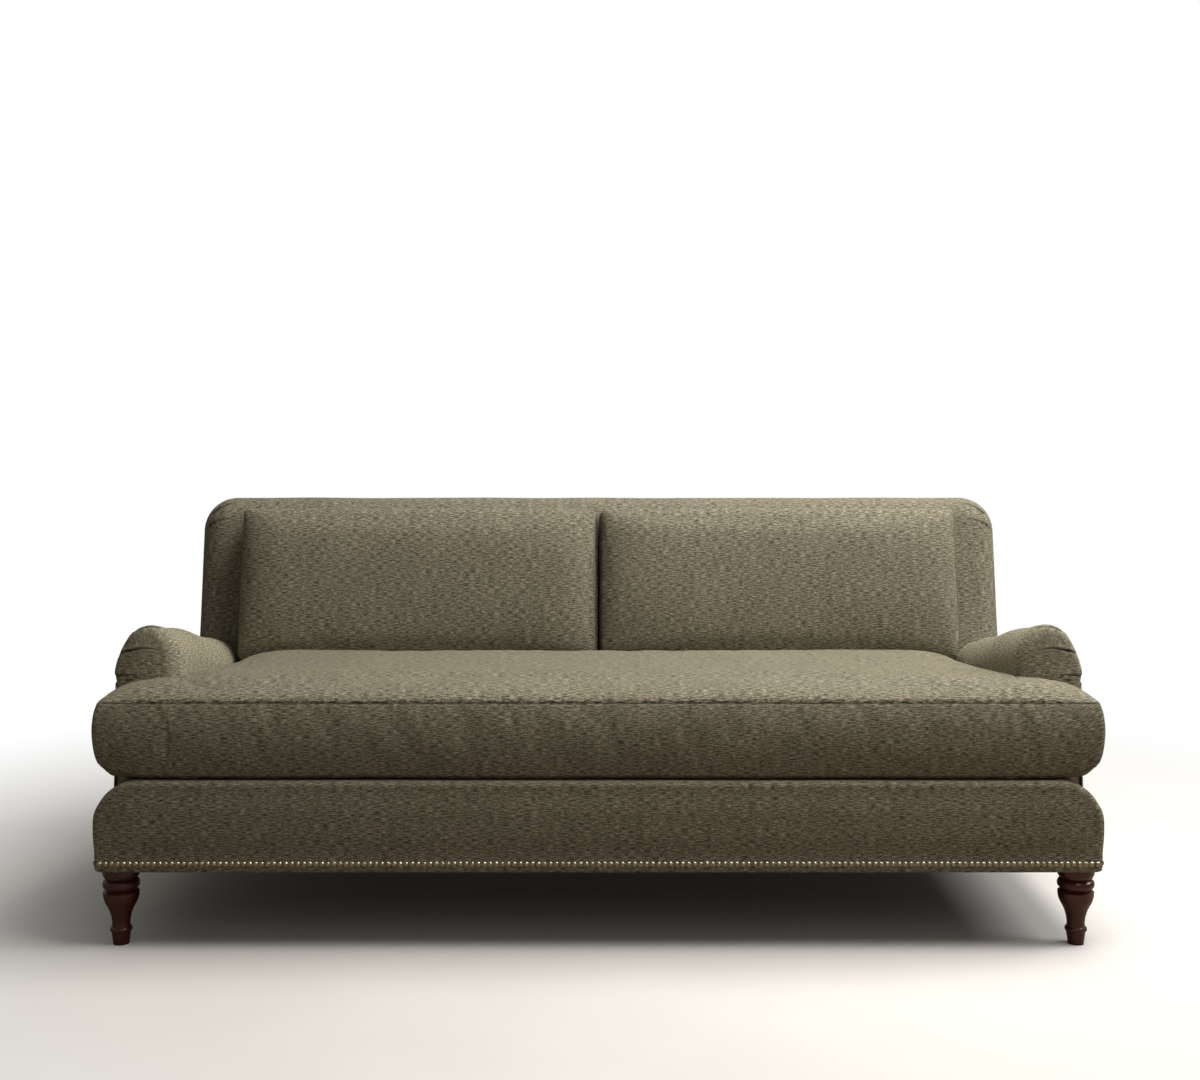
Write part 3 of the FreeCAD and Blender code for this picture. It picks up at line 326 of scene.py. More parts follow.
def boxed_form(plan, offsets, heights, top, bottom=None, low_plan=None, level=False, push=None):
    """A stuffed form: the plan lifted to its top height, rows of boxing that run round its rim,
    each pushed out by an offset at a height, and the low plan, or the same plan, at its bottom
    height. Gives corners as (plan x, plan y, height), quads, cloth places, and the numbers of the
    upper rim's places and of the lower rim's."""
    rows, columns = len(offsets), len(plan.chain)
    blocks, faces, uvs, start = [], [], [], 0
    if bottom is not None:
        under, turned = (low_plan or plan).points, plan.quads[:, ::-1]
        blocks.append(np.column_stack([under, bottom]))
        faces.append(turned)
        uvs.append(under[turned])
        start = len(under)
    ring = plan.points[plan.chain][None] + plan.outward[None] * np.asarray(offsets)[:, None, None]
    if push is not None:
        ring = push(ring, np.asarray(offsets)[:, None])
    heights = np.broadcast_to(np.reshape(heights, (rows, -1)), (rows, columns))
    blocks += [np.dstack([ring, heights]).reshape(-1, 3), np.column_stack([plan.points, top])]
    top_start = start + rows * columns
    rims = [top_start + plan.chain] + [plan.chain] * (bottom is not None)
    band = start + np.arange(rows * columns).reshape(rows, columns)
    index = np.vstack([*rims[1:], band, rims[0]])
    if plan.closed:
        index = np.hstack([index, index[:, :1]])
    points = np.concatenate(blocks)
    across = points[index]
    run = run_down(across)
    band_uv = quads(np.dstack([np.broadcast_to(plan.arc(), run.shape), run]))
    if level:
        # threads stay level: across the band on upright stretches, and along it on flat ones
        down = run[-1] - run
        upright_uv = quads(np.dstack([down, across[..., 1]]))
        level_uv = quads(np.dstack([across[..., 0], across[-1][None, :, 1] + down]))
        facing = np.abs(plan.outward)
        upright = np.tile((facing[:, 0] > facing[:, 1])[:index.shape[1] - 1], index.shape[0] - 1)
        band_uv = np.where(upright[:, None, None], upright_uv, level_uv)
    faces += [quads(index), top_start + plan.quads]
    uvs += [band_uv, plan.points[plan.quads]]
    return points, np.concatenate(faces), np.concatenate(uvs), rims


def quarter_turn(count):
    """Angles from 0 to 90 degrees."""
    return np.linspace(0, math.pi / 2, count)


def top_corners(wide, top):
    """The two upper corners of a plan, with the directions in which they point."""
    return [((sx * wide, top), (sx, 1)) for sx in (-1, 1)]


def quarter(distance, reach):
    """Height of a quarter round at a distance from its foot: 0 there and 1 from its reach on."""
    left = 1 - np.clip(distance / reach, 0, 1)
    return np.sqrt(np.clip(1 - left * left, 0, 1))


def smooth(t):
    t = np.clip(t, 0, 1)
    return t * t * (3 - 2 * t)


def get_points(obj):
    return read(obj.data.vertices, "co")


def set_points(obj, points):
    obj.data.vertices.foreach_set("co", points.astype(np.float32).ravel())
    obj.data.update()


def normals_of(obj):
    return read(obj.data.vertex_normals, "vector")


# ---- Cloth --------------------------------------------------------------------------------------

# How far the swelling may take the cloth inwards at most, in metres, and a seam's painted shade
LEAST_RISE, SEAM_SHADE = -0.0004, 0.6


def swell(obj, held, frames=16):
    """Lets air pressure fill the cover: cloth a little larger than its form, held along its seams,
    with no gravity. Of its move only the part along the surface's own direction is kept, outwards
    up to the swell limit, and inwards by less than half a millimetre, so the cover stays over its
    filling."""
    settings = form()
    group = obj.vertex_groups.new(name="seams")
    group.add([int(i) for i in held], 1.0, "REPLACE")
    cloth = obj.modifiers.new("swell", "CLOTH")
    for key, value in {
        "quality": 4, "mass": 0.3, "tension_stiffness": 20, "compression_stiffness": 12,
        "shear_stiffness": 8, "bending_stiffness": 1.5, "use_pressure": True,
        "uniform_pressure_force": 4, "shrink_min": -settings.growth, "vertex_group_mass": "seams",
        "pin_stiffness": 1,
    }.items():
        setattr(cloth.settings, key, value)
    cloth.settings.effector_weights.gravity = 0
    cloth.collision_settings.use_collision = False
    cloth.point_cache.frame_start = 1
    cloth.point_cache.frame_end = frames
    start = get_points(obj)
    scene = bpy.context.scene
    for number in range(1, frames + 1):
        scene.frame_set(number)
    settled = obj.evaluated_get(bpy.context.evaluated_depsgraph_get())
    filled = read(settled.to_mesh().vertices, "co")
    settled.to_mesh_clear()
    outward = normals_of(obj)
    rise = ((filled - start) * outward).sum(1)
    rise = settings.cap * np.tanh(np.maximum(rise, LEAST_RISE) / settings.cap)
    move = outward * rise[:, None]
    obj.modifiers.remove(cloth)
    obj.vertex_groups.remove(group)
    scene.frame_set(1)
    set_points(obj, start + move)


def draw_seams(obj, rim):
    """Pulls a seam's row of places into the stuffing, along the surface's own direction, and paints
    shade along it.
    """
    points, normals = get_points(obj), normals_of(obj)
    points[rim] -= normals[rim] * form().seam_depth
    set_points(obj, points)
    amount = np.zeros(len(points))
    amount[rim] = SEAM_SHADE
    shade_fold(obj, amount)


def settle(obj, seed, height=0.0011, span=0.23):
    """The stuffing's slight unevenness: a sum of six slow waves, each in its seeded direction."""
    points, normals = get_points(obj), normals_of(obj)
    random = np.random.default_rng(seed)
    wave, waves, usual_sum = np.zeros(len(points)), 6, 2.4
    for _ in range(waves):
        direction = random.normal(size=3)
        direction *= 2 * math.pi / (np.linalg.norm(direction) * span * random.uniform(0.7, 1.6))
        wave += np.sin(points @ direction + random.uniform(0, 2 * math.pi))
    set_points(obj, points + normals * (wave * height / usual_sum)[:, None])


def subdivide(obj, levels=1):
    fine = obj.modifiers.new("smooth cloth", "SUBSURF")
    fine.levels = fine.render_levels = levels
    fine.boundary_smooth = "PRESERVE_CORNERS"


def pleat(points, line, weight):
    """A fold along a line drawn in the front view. With s the signed distance from the line and w
    the fold's half width, the cloth sinks by exp(-(s/w)^2) and stands up by 0.4 of that beside it.
    The fold is widest where the line starts and fades to nothing where it ends. Gives the move
    along the normal as a share of the fold's depth, and how deep in the fold each place lies."""
    line = np.asarray(line, float)
    flat = points[:, [0, 2]]
    best = np.full(len(flat), 1e9)
    signed = np.zeros(len(flat))
    place = np.zeros(len(flat))
    spans = np.linalg.norm(np.diff(line, axis=0), axis=1)
    total = spans.sum()
    for i, span in enumerate(spans):
        a, b = line[i], line[i + 1]
        t = np.clip(((flat - a) @ (b - a)) / span ** 2, 0, 1)
        gap = flat - (a + t[:, None] * (b - a))
        far = np.linalg.norm(gap, axis=1)
        side = np.sign((b - a)[0] * gap[:, 1] - (b - a)[1] * gap[:, 0])
        nearer = far < best
        best = np.where(nearer, far, best)
        signed = np.where(nearer, far * side, signed)
        place = np.where(nearer, (spans[:i].sum() + t * span) / total, place)
    fade = np.sqrt(np.clip(1 - place, 0, 1)) * weight
    w = form().pleat_width * (0.4 + 0.6 * fade)
    sink = np.exp(-(signed / w) ** 2) * fade
    lift = 0.4 * np.exp(-((np.abs(signed) - 2.2 * w) / (1.6 * w)) ** 2) * fade
    return lift - sink, sink


def fold_cloth(obj, lines, near):
    """Lays folds into a piece, with painted shade in them, where the near share says that its
    surface is the one seen.
    """
    points, normals = get_points(obj), normals_of(obj)
    move, dark = np.zeros(len(points)), np.zeros(len(points))
    for line, weight in lines:
        lifted, sunk = pleat(points, line, weight)
        move += lifted * near
        dark = np.maximum(dark, sunk * near)
    set_points(obj, points + normals * (move * form().pleat_depth)[:, None])
    # painted shade: the cloth is darkened down in each fold
    shade_fold(obj, np.clip(dark * 1.2, 0, 1))


# ---- Materials ----------------------------------------------------------------------------------

def linear(text):
    """An sRGB hex colour as linear red, green, blue and 1."""
    value = np.array([int(text[i:i + 2], 16) for i in (1, 3, 5)]) / 255
    made = np.where(value <= 0.04045, value / 12.92, ((value + 0.055) / 1.055) ** 2.4)
    return (*made.tolist(), 1.0)


def add(tree, kind, settings=None, **links):
    """Adds a node, sets its properties and socket values, and links its inputs to other sockets."""
    node = tree.nodes.new(kind)
    for key, value in (settings or {}).items():
        if isinstance(key, str) and hasattr(node, key):
            setattr(node, key, value)
        else:
            node.inputs[key].default_value = value
    for key, socket in links.items():
        name = int(key[1:]) if key[0] == "_" else key.replace("_", " ")
        tree.links.new(socket, node.inputs[name])
    return node


def ramp(tree, factor, *stops):
    """A ramp from (place, hex colour) stops, or from (place, number) stops."""
    node = add(tree, "ShaderNodeValToRGB", None, Fac=factor)
    elements = node.color_ramp.elements
    while len(elements) < len(stops):
        elements.new(0.5)
    for element, (place, text) in zip(elements, stops):
        element.position = place
        element.color = linear(text) if isinstance(text, str) else (text, text, text, 1)
    return node.outputs["Color"]


def shader(name, roughness, metallic=0.0, ior=1.5, **sockets):
    material = bpy.data.materials.new(name)
    material.use_nodes = True
    tree = material.node_tree
    bsdf = tree.nodes["Principled BSDF"]
    for key, value in {"Roughness": roughness, "Metallic": metallic, "IOR": ior, **sockets}.items():
        bsdf.inputs[key.replace("_", " ")].default_value = value
    return material, tree, bsdf


def place_of(tree, kind="Object"):
    return add(tree, "ShaderNodeTexCoord").outputs[kind]


def scaled(tree, source, scale):
    return add(tree, "ShaderNodeMapping", {"Scale": scale}, Vector=source).outputs[0]


def noise(tree, place, scale, detail, **more):
    return add(
        tree, "ShaderNodeTexNoise", {"Scale": scale, "Detail": detail, **more}, Vector=place
    ).outputs["Fac"]


def bands(tree, place, axis, **more):
    settings = {"Scale": 1, "bands_direction": axis, **more}
    return add(tree, "ShaderNodeTexWave", settings, Vector=place).outputs["Fac"]


def weighted(tree, first, weight, second):
    """The first value times a weight, plus the second."""
    return add(
        tree, "ShaderNodeMath", {"operation": "MULTIPLY_ADD", 1: weight}, _0=first, _2=second
    ).outputs[0]


def surface(material, colour, height, strength, distance):
    """Gives a material's shader its colour and, from a height, its relief."""
    tree = material.node_tree
    inputs = tree.nodes["Principled BSDF"].inputs
    tree.links.new(colour, inputs["Base Color"])
    bump = add(tree, "ShaderNodeBump", {"Strength": strength, "Distance": distance}, Height=height)
    tree.links.new(bump.outputs["Normal"], inputs["Normal"])
    return material


def chenille(name="chenille tweed, woven", rubbed=1.0):
    """Chenille tweed, woven and brushed: short level slubs of three yarns, matt, with a faint pile
    that lightens the cloth where it turns away. The weave is drawn at its real pitch, slubs at
    theirs. Its colour is multiplied by the painted-light factor: painted light, which makes a copy
    of the cloth lighter, as if more light fell on it."""
    if name in bpy.data.materials:
        return bpy.data.materials[name]
    material, tree, _ = shader(
        name, 0.92, ior=1.45, Specular_IOR_Level=0.2, Sheen_Weight=0.1, Sheen_Roughness=0.5,
        Sheen_Tint=linear("#c4bda2"),
    )
    f = finish()
    cloth = place_of(tree, "UV")

    def threads(wide, tall):
        return noise(tree, scaled(tree, cloth, (1 / wide, 1 / tall, 1)), 1, 1, Roughness=0.68)

    def blend(first, second, part):
        mix = {"data_type": "FLOAT", 0: part}
        return add(tree, "ShaderNodeMix", mix, _2=first, _3=second).outputs[0]

    weft = blend(threads(f.slub_length, f.slub_height),
                 threads(f.slub_length / 2.6, f.slub_height / 1.6), 0.38)
    warp = threads(f.slub_height * 0.8, f.slub_length * 0.3)
    both = blend(weft, warp, 0.08)
    # patches of the cloth are a little paler or darker than the next
    patch_size, patch_weight = 9, 0.04
    patch = noise(tree, cloth, patch_size, 2, Roughness=0.5)
    even = add(tree, "ShaderNodeMath", {"operation": "SUBTRACT", 1: patch_weight / 2}, _0=both)
    shade = weighted(tree, patch, patch_weight, even.outputs[0])
    colours = ramp(tree, shade, (0.395, f.yarn_dark), (0.5, f.yarn_mid), (0.605, f.yarn_light))
    # the cloth is darker down in its seams and folds, where little light gets in
    fold = add(tree, "ShaderNodeAttribute", {"attribute_name": "Fold"}).outputs["Fac"]
    open_cloth = ramp(tree, fold, (0.0, "#ffffff"), (0.9, "#3c3a36"))
    fold_shaded_colours = add(tree, "ShaderNodeMix", {"data_type": "RGBA", "blend_type": "MULTIPLY", 0: 1.0},
               _6=colours, _7=open_cloth).outputs[2]
    # painted light: the colour times the factor, which is above 1 for the arms' lighter copy
    painted_light_colour = add(tree, "ShaderNodeVectorMath", {"operation": "SCALE", "Scale": rubbed}, _0=fold_shaded_colours)
    # warp ends 1.7 mm apart cross the weft, and show as a fine rib under the slubs
    ribs = scaled(tree, cloth, (2 * math.pi / 0.034, 60, 1))
    relief = weighted(tree, bands(tree, ribs, "X", Distortion=1.2, Detail=1), 0.3, both)
    return surface(material, painted_light_colour.outputs[0], relief, 0.4, 0.0013)


def plain_weave(name, dark, light, pitch):
    """Plain-woven cotton or jute: crossing threads at a real pitch, dark in between, dry, matt."""
    material, tree, _ = shader(name, 0.9, ior=1.45, Sheen_Weight=0.1)
    place = place_of(tree)
    threads = scaled(tree, place, (2 * math.pi / (20 * pitch),) * 3)
    warp, weft = (bands(tree, threads, axis, Distortion=0.6) for axis in "XY")
    thread = add(tree, "ShaderNodeMath", {"operation": "MULTIPLY"}, _0=warp, _1=weft).outputs[0]
    mixed = weighted(tree, noise(tree, place, 30, 3), 0.5, thread)
    return surface(material, ramp(tree, mixed, (0.1, dark), (0.9, light)), thread, 0.4, pitch / 3)


def cut_foam(name, dark, light):
    """Polyurethane foam, sawn: open cells about 1.5 mm across, drawn at 3 mm to show, very matt."""
    material, tree, _ = shader(name, 0.95, ior=1.4)
    place = place_of(tree)
    cells = add(tree, "ShaderNodeTexVoronoi", {"Scale": 330}, Vector=place).outputs["Distance"]
    mixed = weighted(tree, cells, 0.5, noise(tree, place, 12, 3))
    return surface(material, ramp(tree, mixed, (0.35, dark), (0.8, light)), cells, 0.4, 0.001)


def sawn_wood(name, dark, light, along, roughness, gloss=0.0, grain=0.004):
    """Wood: grain lines a few millimetres apart that run along the piece, with finer pores. The
    frame's wood is sawn and dry, the legs are turned, stained and lacquered, so their grain shows
    under gloss."""
    material, tree, _ = shader(
        name, roughness, ior=1.5, Coat_Weight=gloss, Coat_Roughness=0.16, Coat_IOR=1.5
    )
    place = place_of(tree)

    def streaks(lengthwise, crosswise):
        return scaled(tree, place, tuple(lengthwise if i == along else crosswise for i in range(3)))

    lines = noise(tree, streaks(6, 1 / grain), 1, 4, Roughness=0.6)
    rings = noise(tree, streaks(2.5, 0.22 / grain), 1, 2, Distortion=0.6)
    faint = add(tree, "ShaderNodeMath", {"operation": "MULTIPLY", 1: 0.45}, _0=rings).outputs[0]
    mixed = weighted(tree, lines, 0.55, faint)
    return surface(material, ramp(tree, mixed, (0.34, dark), (0.66, light)), lines, 0.12, 0.0008)


def metal(name, dark, light, roughness, scale, wear=0.35):
    """Brass or steel: smooth and bright where it is worn, dull and dark where its finish has
    aged, in patches about as large as one over the scale."""
    material, tree, bsdf = shader(name, roughness, metallic=1.0)
    tarnish = noise(tree, place_of(tree), scale, 3)
    tree.links.new(ramp(tree, tarnish, (0.3, roughness + 0.12), (0.7, roughness - 0.06)),
                   bsdf.inputs["Roughness"])
    colours = ramp(tree, tarnish, (0.5 - wear / 2, dark), (0.5 + wear / 2, light))
    return surface(material, colours, tarnish, 0.15, 0.0004)


def moulded_plastic(name, dark, light):
    """Nylon, injection moulded: a faint orange-peel skin and scuffs, half matt."""
    material, tree, _ = shader(name, 0.5, ior=1.53)
    skin = noise(tree, place_of(tree), 700, 2)
    return surface(material, ramp(tree, skin, (0.3, dark), (0.7, light)), skin, 0.1, 0.0003)


# ---- Pieces -------------------------------------------------------------------------------------

def mirrored(sign, points, faces, uv):
    """The right piece (sign 1) or its mirror image (-1), whose x changes sign and quads turn."""
    return points * np.array([sign, 1, 1]), faces[:, ::sign], uv[:, ::sign]


def both_sides(make, *names):
    """Makes the right piece and its mirror image on the left."""
    made = make()
    return [
        put_mesh(name, *mirrored(sign, *made), chenille()) for name, sign in zip(names, (1, -1))
    ]


def dress(obj, body, slot, fill, *nodes):
    """Rides on its body and stands for its frame nodes. Its slot and fill are not used."""
    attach(obj, body)
    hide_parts(*nodes)


# Height up the seat cushion's boxing as a share of its thickness, and how far in the cloth lies
# there from the widest line, in metres. The first row is the lower seam, the last the upper seam.
SEAT_BOXING = np.array([
    (0.19, 0.014), (0.215, 0.0123), (0.25, 0.010), (0.30, 0.007), (0.36, 0.0046), (0.43, 0.0028),
    (0.5, 0.0014), (0.56, 0.0005), (0.62, 0.0), (0.68, 0.0), (0.75, 0.0009), (0.82, 0.0022),
    (0.88, 0.0038), (0.93, 0.0056), (0.965, 0.0071), (0.988, 0.0081), (1.0, 0.0086),
])
LOW_SEAM_IN, TOP_SEAM_IN = SEAT_BOXING[0, 1], SEAT_BOXING[-1, 1]
# Gap between the seat's ears and the arms' fronts, and the radius of the seat's corners in plan
EAR_GAP, SEAT_CORNER = 0.0085, 0.010
# Half the seat's width between the arms, and the depth of its ears in front of them
SEAT_HALF = CUSHION_HIGH[0]
EAR_DEPTH = float(DECK.into(np.array([[0, ARM_LOW[1], SEAT_HIGH[2]]]))[0, 1]) - EAR_GAP
# How far behind the arm's front the seat's edge still stands up against the arm
EDGE_RUN = 0.46
# Depth from which the back cushions cover the seat, and the length of the change to that part
COVERED_FROM, COVERED_OVER = 0.5, 0.1


def seat_wide():
    """Half the seat's width at its ears."""
    return SEAT_HIGH[0] + form().seat_proud


def seat_top(x, y):
    """Rise of the seat over its seam: the crown times quarter rounds of the distance from the ends,
    the front and the rear. Behind the arm's front it also falls to the sides, and the more so the
    further back, because there the arm no longer holds the cushion up."""
    f = form()
    ax = np.abs(x)
    lift = np.clip(1 - (y - EAR_DEPTH) / EDGE_RUN, 0, 1)
    # under the back cushions the fill keeps more of its height, right into the corners
    reach = f.seat_reach * (1 - 0.3 * smooth((y - COVERED_FROM) / COVERED_OVER))
    side = quarter(np.maximum(SEAT_HALF - TOP_SEAM_IN - ax, 0), reach)
    tips = quarter(np.maximum(seat_wide() - TOP_SEAM_IN - ax, 0), f.seat_lip)
    front = quarter(np.maximum(y - TOP_SEAM_IN, 0), f.seat_lip)
    rear = quarter(np.maximum(SEAT_HIGH[1] - TOP_SEAM_IN - y, 0), 0.75 * f.seat_reach)
    return f.seat_crown * (lift + (1 - lift) * side) * tips * front * rear


def low_seam(x):
    """Height of the seat's lower seam: level along the front, rising to the ends as a parabola."""
    f = form()
    rise_from, rise_over = 0.90, 0.115
    end = np.clip((np.abs(x) - rise_from) / rise_over, 0, 1)
    return f.seat_low_seam + f.seat_end_lift * end ** 2


def seat_plan(inset):
    """The T's outline drawn in by an inset, filled with grid lines that meet across its notches."""
    half, ears = SEAT_HALF - inset, seat_wide() - inset
    front, notch, rear = inset, EAR_DEPTH - inset, SEAT_HIGH[1] - inset
    step = form().grid
    ear_y = stations(front, notch, step, EDGE_STEPS, EAR_DEPTH)
    body_y = np.concatenate([
        ear_y[:-1], stations(notch, rear, step, EDGE_STEPS, SEAT_HIGH[1] - EAR_DEPTH)
    ])
    body_x = stations(-half, half, step, EDGE_STEPS, 2 * SEAT_HALF)
    ear_x = stations(half, ears, step, EDGE_STEPS, seat_wide() - SEAT_HALF)
    corners = [
        ((sx * x, y), (sx, sy))
        for x, y, sy in ((ears, front, -1), (ears, notch, 1), (half, rear, 1)) for sx in (-1, 1)
    ]
    patches = [(body_x, body_y), (ear_x, ear_y), (-ear_x[::-1], ear_y)]
    return Plan(patches, corners, SEAT_CORNER, (0, (front + notch) / 2))


def make_seat_cushion():
    """The T-shaped bench cushion: crowned top, boxing that bulges between its two seams, underside
    that goes in from its seam and down to the deck, and a slot for the zip at the rear."""
    plan, low_plan = seat_plan(TOP_SEAM_IN), seat_plan(LOW_SEAM_IN)
    half, notch = SEAT_HALF - TOP_SEAM_IN, EAR_DEPTH - TOP_SEAM_IN
    x, y = low_plan.points.T
    ax, low_half, low_notch = np.abs(x), SEAT_HALF - LOW_SEAM_IN, EAR_DEPTH - LOW_SEAM_IN
    between_arms = y > low_notch
    side = np.where(between_arms, low_half - ax, seat_wide() - LOW_SEAM_IN - ax)
    to_notch = np.hypot(np.maximum(low_half - ax, 0), np.maximum(low_notch - y, 0))
    rim = np.minimum.reduce([
        side, y - LOW_SEAM_IN, SEAT_HIGH[1] - LOW_SEAM_IN - y, np.where(between_arms, 1.0, to_notch)
    ])
    # the underside goes down to the deck within this distance of its seam, and lies so far over it
    foot, over_deck = 0.029, 0.0006
    under = low_seam(x) * (1 - smooth(rim / foot)) + over_deck
    top = seam_height() + seat_top(*plan.points.T)
    rim_low = low_seam(plan.points[plan.chain, 0])
    inner, low_share = SEAT_BOXING[1:-1], SEAT_BOXING[0, 0]
    share = (inner[:, :1] - low_share) / (1 - low_share)
    heights = rim_low + share * (top[plan.chain] - rim_low)

    def keep_notch(ring, offset):
        """Keeps the boxing's inner corners square where it is pushed into the notch."""
        near, square_x = 1e-4, np.abs(plan.square[:, 0])
        on_ear = (square_x > half + near) & (np.abs(plan.square[:, 1] - notch) < near)
        on_side = (np.abs(square_x - half) < near) & (plan.square[:, 1] >= notch - near)
        ax = np.abs(ring[..., 0])
        ax = np.where((on_ear | on_side)[None], np.maximum(ax, half + offset), ax)
        ry = np.where(on_side[None], np.maximum(ring[..., 1], notch + offset), ring[..., 1])
        return np.stack([np.sign(ring[..., 0]) * ax, ry], -1)

    points, faces, uv, rims = boxed_form(
        plan, TOP_SEAM_IN - inner[:, 1], heights, top, under, low_plan=low_plan, push=keep_notch
    )
    obj = put_mesh("seat_cushion_fabric", DECK.out(points), faces, uv, chenille())
    seams = np.concatenate(rims)
    swell(obj, seams)
    settle(obj, 3)
    # the filled cushion keeps clear of the deck, the back, the arms' sides and the arms' fronts
    x, y, z = DECK.into(get_points(obj)).T
    between = SEAT_HALF + 0.0012
    y = np.clip(y, SEAT_LOW[1] - 0.003, SEAT_HIGH[1] + 0.002)
    wide = np.where(y > EAR_DEPTH, between, seat_wide() + 0.003)
    x = np.clip(x, -wide, wide)
    y = np.where(np.abs(x) > between, np.minimum(y, EAR_DEPTH + 0.0005), y)
    set_points(obj, DECK.out(np.column_stack([x, y, np.maximum(z, 0.0005)])))
    draw_seams(obj, seams)
    sink_zip(obj, DECK, "seat_cushion_zip", SEAT_HIGH[1] - 0.02)
    subdivide(obj)
    dress(obj, "seat_cushion", "upholstery", 0.9, "seat_cushion_cover")


def seam_height():
    """Height of the seat cushion's upper seam over its underside."""
    return SEAT_HIGH[2] - SEAT_LOW[2] - form().seat_crown


def sink_zip(obj, lean, node, behind):
    """Lets the cloth dip behind a zip's tape, so that the zip lies in a slot of the cover."""
    beside, half_slot, under = 0.002, 0.0115, 0.0006
    low, high = leaning_box(node, lean)
    x, y, z = lean.into(get_points(obj)).T
    inside = (y > behind) & (x > low[0] - beside) & (x < high[0] + beside)
    inside &= np.abs(z - (low[2] + high[2]) / 2) < half_slot
    y = np.where(inside, np.minimum(y, low[1] - under), y)
    set_points(obj, lean.out(np.column_stack([x, y, z])))


def seat_surface(world_x, world_y):
    """Height of the seat cushion's top over a place on the floor plan."""
    c, s = math.cos(math.radians(DECK_PITCH)), math.sin(math.radians(DECK_PITCH))
    y = (world_y - DECK.origin[1]) / c
    for _ in range(3):
        z = seam_height() + seat_top(world_x, y)
        y = (world_y - DECK.origin[1] - z * s) / c
    return DECK.origin[2] - y * s + z * c


# Depth of a back cushion's boxing from its rear seam, as a share of the boxing's depth, and how far
# in the cloth lies there, as a share of the seams' inset
BACK_BOXING = np.array([
    (0.04, 0.62), (0.10, 0.34), (0.2, 0.12), (0.34, 0.0), (0.5, 0.0), (0.64, 0.1), (0.76, 0.26),
    (0.86, 0.48), (0.93, 0.7), (0.975, 0.9),
])
# How far a back cushion's seams lie inside its widest line, and how far its rear edges are rounded
CUSHION_INSET, CUSHION_REAR = 0.0035, 0.012


def make_back_cushions():
    """Two knife-soft boxed cushions in the back's frame: rear face flat, boxing that bulges, a
    plump face that falls away to soft corners, and an underside that rests on the crowned seat."""
    f = form()
    low_x, high_x = CUSHION_LOW[0] + CUSHION_INSET, CUSHION_HIGH[0] - CUSHION_INSET
    # the cover starts 4 mm lower than the frame's, and is cut off by the seat further down
    low_w, high_w = CUSHION_LOW[2] + CUSHION_INSET - 0.004, CUSHION_HIGH[2] - CUSHION_INSET
    boxing = CUSHION_HIGH[1] - CUSHION_LOW[1] - f.back_crown
    corners = [
        ((x, w), (sx, sw))
        for w, sw in ((low_w, -1), (high_w, 1)) for x, sx in ((low_x, -1), (high_x, 1))
    ]
    xs = stations(low_x, high_x, f.grid, EDGE_STEPS)
    ws = stations(low_w, high_w, f.grid, EDGE_STEPS)
    plan = Plan([(xs, ws)], corners, 0.02, ((low_x + high_x) / 2, (low_w + high_w) / 2))
    x, w = plan.points.T
    side, above, below = np.minimum(x - low_x, high_x - x), high_w - w, w - low_w
    rim = np.minimum.reduce([side, above, below])
    face = f.back_crown * (quarter(side, 0.12) * quarter(above, 0.15) * quarter(below, 0.18)) ** 0.7
    face += 0.0025 * quarter(rim, 0.03)
    rear = CUSHION_REAR * (1 - quarter(rim, 0.04)) + 0.0008
    offsets = CUSHION_INSET * (1 - BACK_BOXING[:, 1])
    heights = CUSHION_REAR + BACK_BOXING[:, 0] * (boxing - CUSHION_REAR)
    points, faces, uv, rims = boxed_form(plan, offsets, heights, boxing + face, rear)
    local = np.column_stack([points[:, 0], CUSHION_HIGH[1] - points[:, 2], points[:, 1]])
    for side, sign, seed in (("right", 1, 11), ("left", -1, 23)):
        shape, turned, cloth = mirrored(sign, BACK.out(local), faces, uv)
        # each cushion is cut from its own place in the cloth
        cloth = cloth + sign * 0.37
        obj = put_mesh(f"{side}_back_cushion_fabric", shape, turned, cloth, chenille())
        swell(obj, np.concatenate(rims))
        settle(obj, seed)
        draw_seams(obj, rims[0])
        # it keeps clear of the back, the arm, the other cushion and the seat
        x, y, z = BACK.into(get_points(obj)).T
        x = sign * np.clip(sign * x, CUSHION_LOW[0] - 0.0006, CUSHION_HIGH[0] + 0.0012)
        y = np.minimum(y, CUSHION_HIGH[1] - 0.0003)
        world = BACK.out(np.column_stack([x, y, z]))
        world[:, 2] = np.maximum(world[:, 2], seat_surface(world[:, 0], world[:, 1]) + 0.0012)
        set_points(obj, world)
        sink_zip(obj, BACK, f"{side}_back_cushion_zip", CUSHION_HIGH[1] - 0.012)
        subdivide(obj)
        dress(obj, f"{side}_back_cushion", "upholstery", 0.75, f"{side}_back_cushion_cover")


# The arm's section, in metres: how far in its crown lies, and how far its rounds fall on each side
ARM_CROWN_IN, ARM_DROP_IN, ARM_DROP_OUT = 0.062, 0.074, 0.120
# Radius of the arm's rounded front at the inner side, the crown and the outer side, and how far
# beyond the crown the last is reached
ARM_NOSES, ARM_NOSE_RUN = (0.038, 0.027, 0.014), 0.14
ARM_SLOPE = math.tan(math.radians(11.5))
# Radius of the arm's tight arc at its crown, as a share of the round's width
ARM_TIP = 0.75
ARM_CREST = 0.637
# Radii of the back's rolled edge in front and at the rear, and of its top corners
BACK_EDGE, BACK_REAR_EDGE, BACK_CORNER = 0.064, 0.050, 0.084


def arm_round(wide, tall, t):
    """Half of the arm's round from its foot (t 0) to its crown (t 1): a wide arc, then a tight one
    that ends level. Gives distance out from the crown and height over the foot."""
    tip = wide * ARM_TIP
    flank = (wide ** 2 + (tall - tip) ** 2 - tip ** 2) / (2 * (wide - tip))
    turn = np.arcsin((tall - tip) / (flank - tip))
    split = flank * turn / (flank * turn + tip * (math.pi / 2 - turn))
    first = t < split
    a = np.where(first, t / split * turn, turn + (t - split) / (1 - split) * (math.pi / 2 - turn))
    out = np.where(first, wide - flank + flank * np.cos(a), tip * np.cos(a))
    up = np.where(first, flank * np.sin(a), tall - tip + tip * np.sin(a))
    return out, up


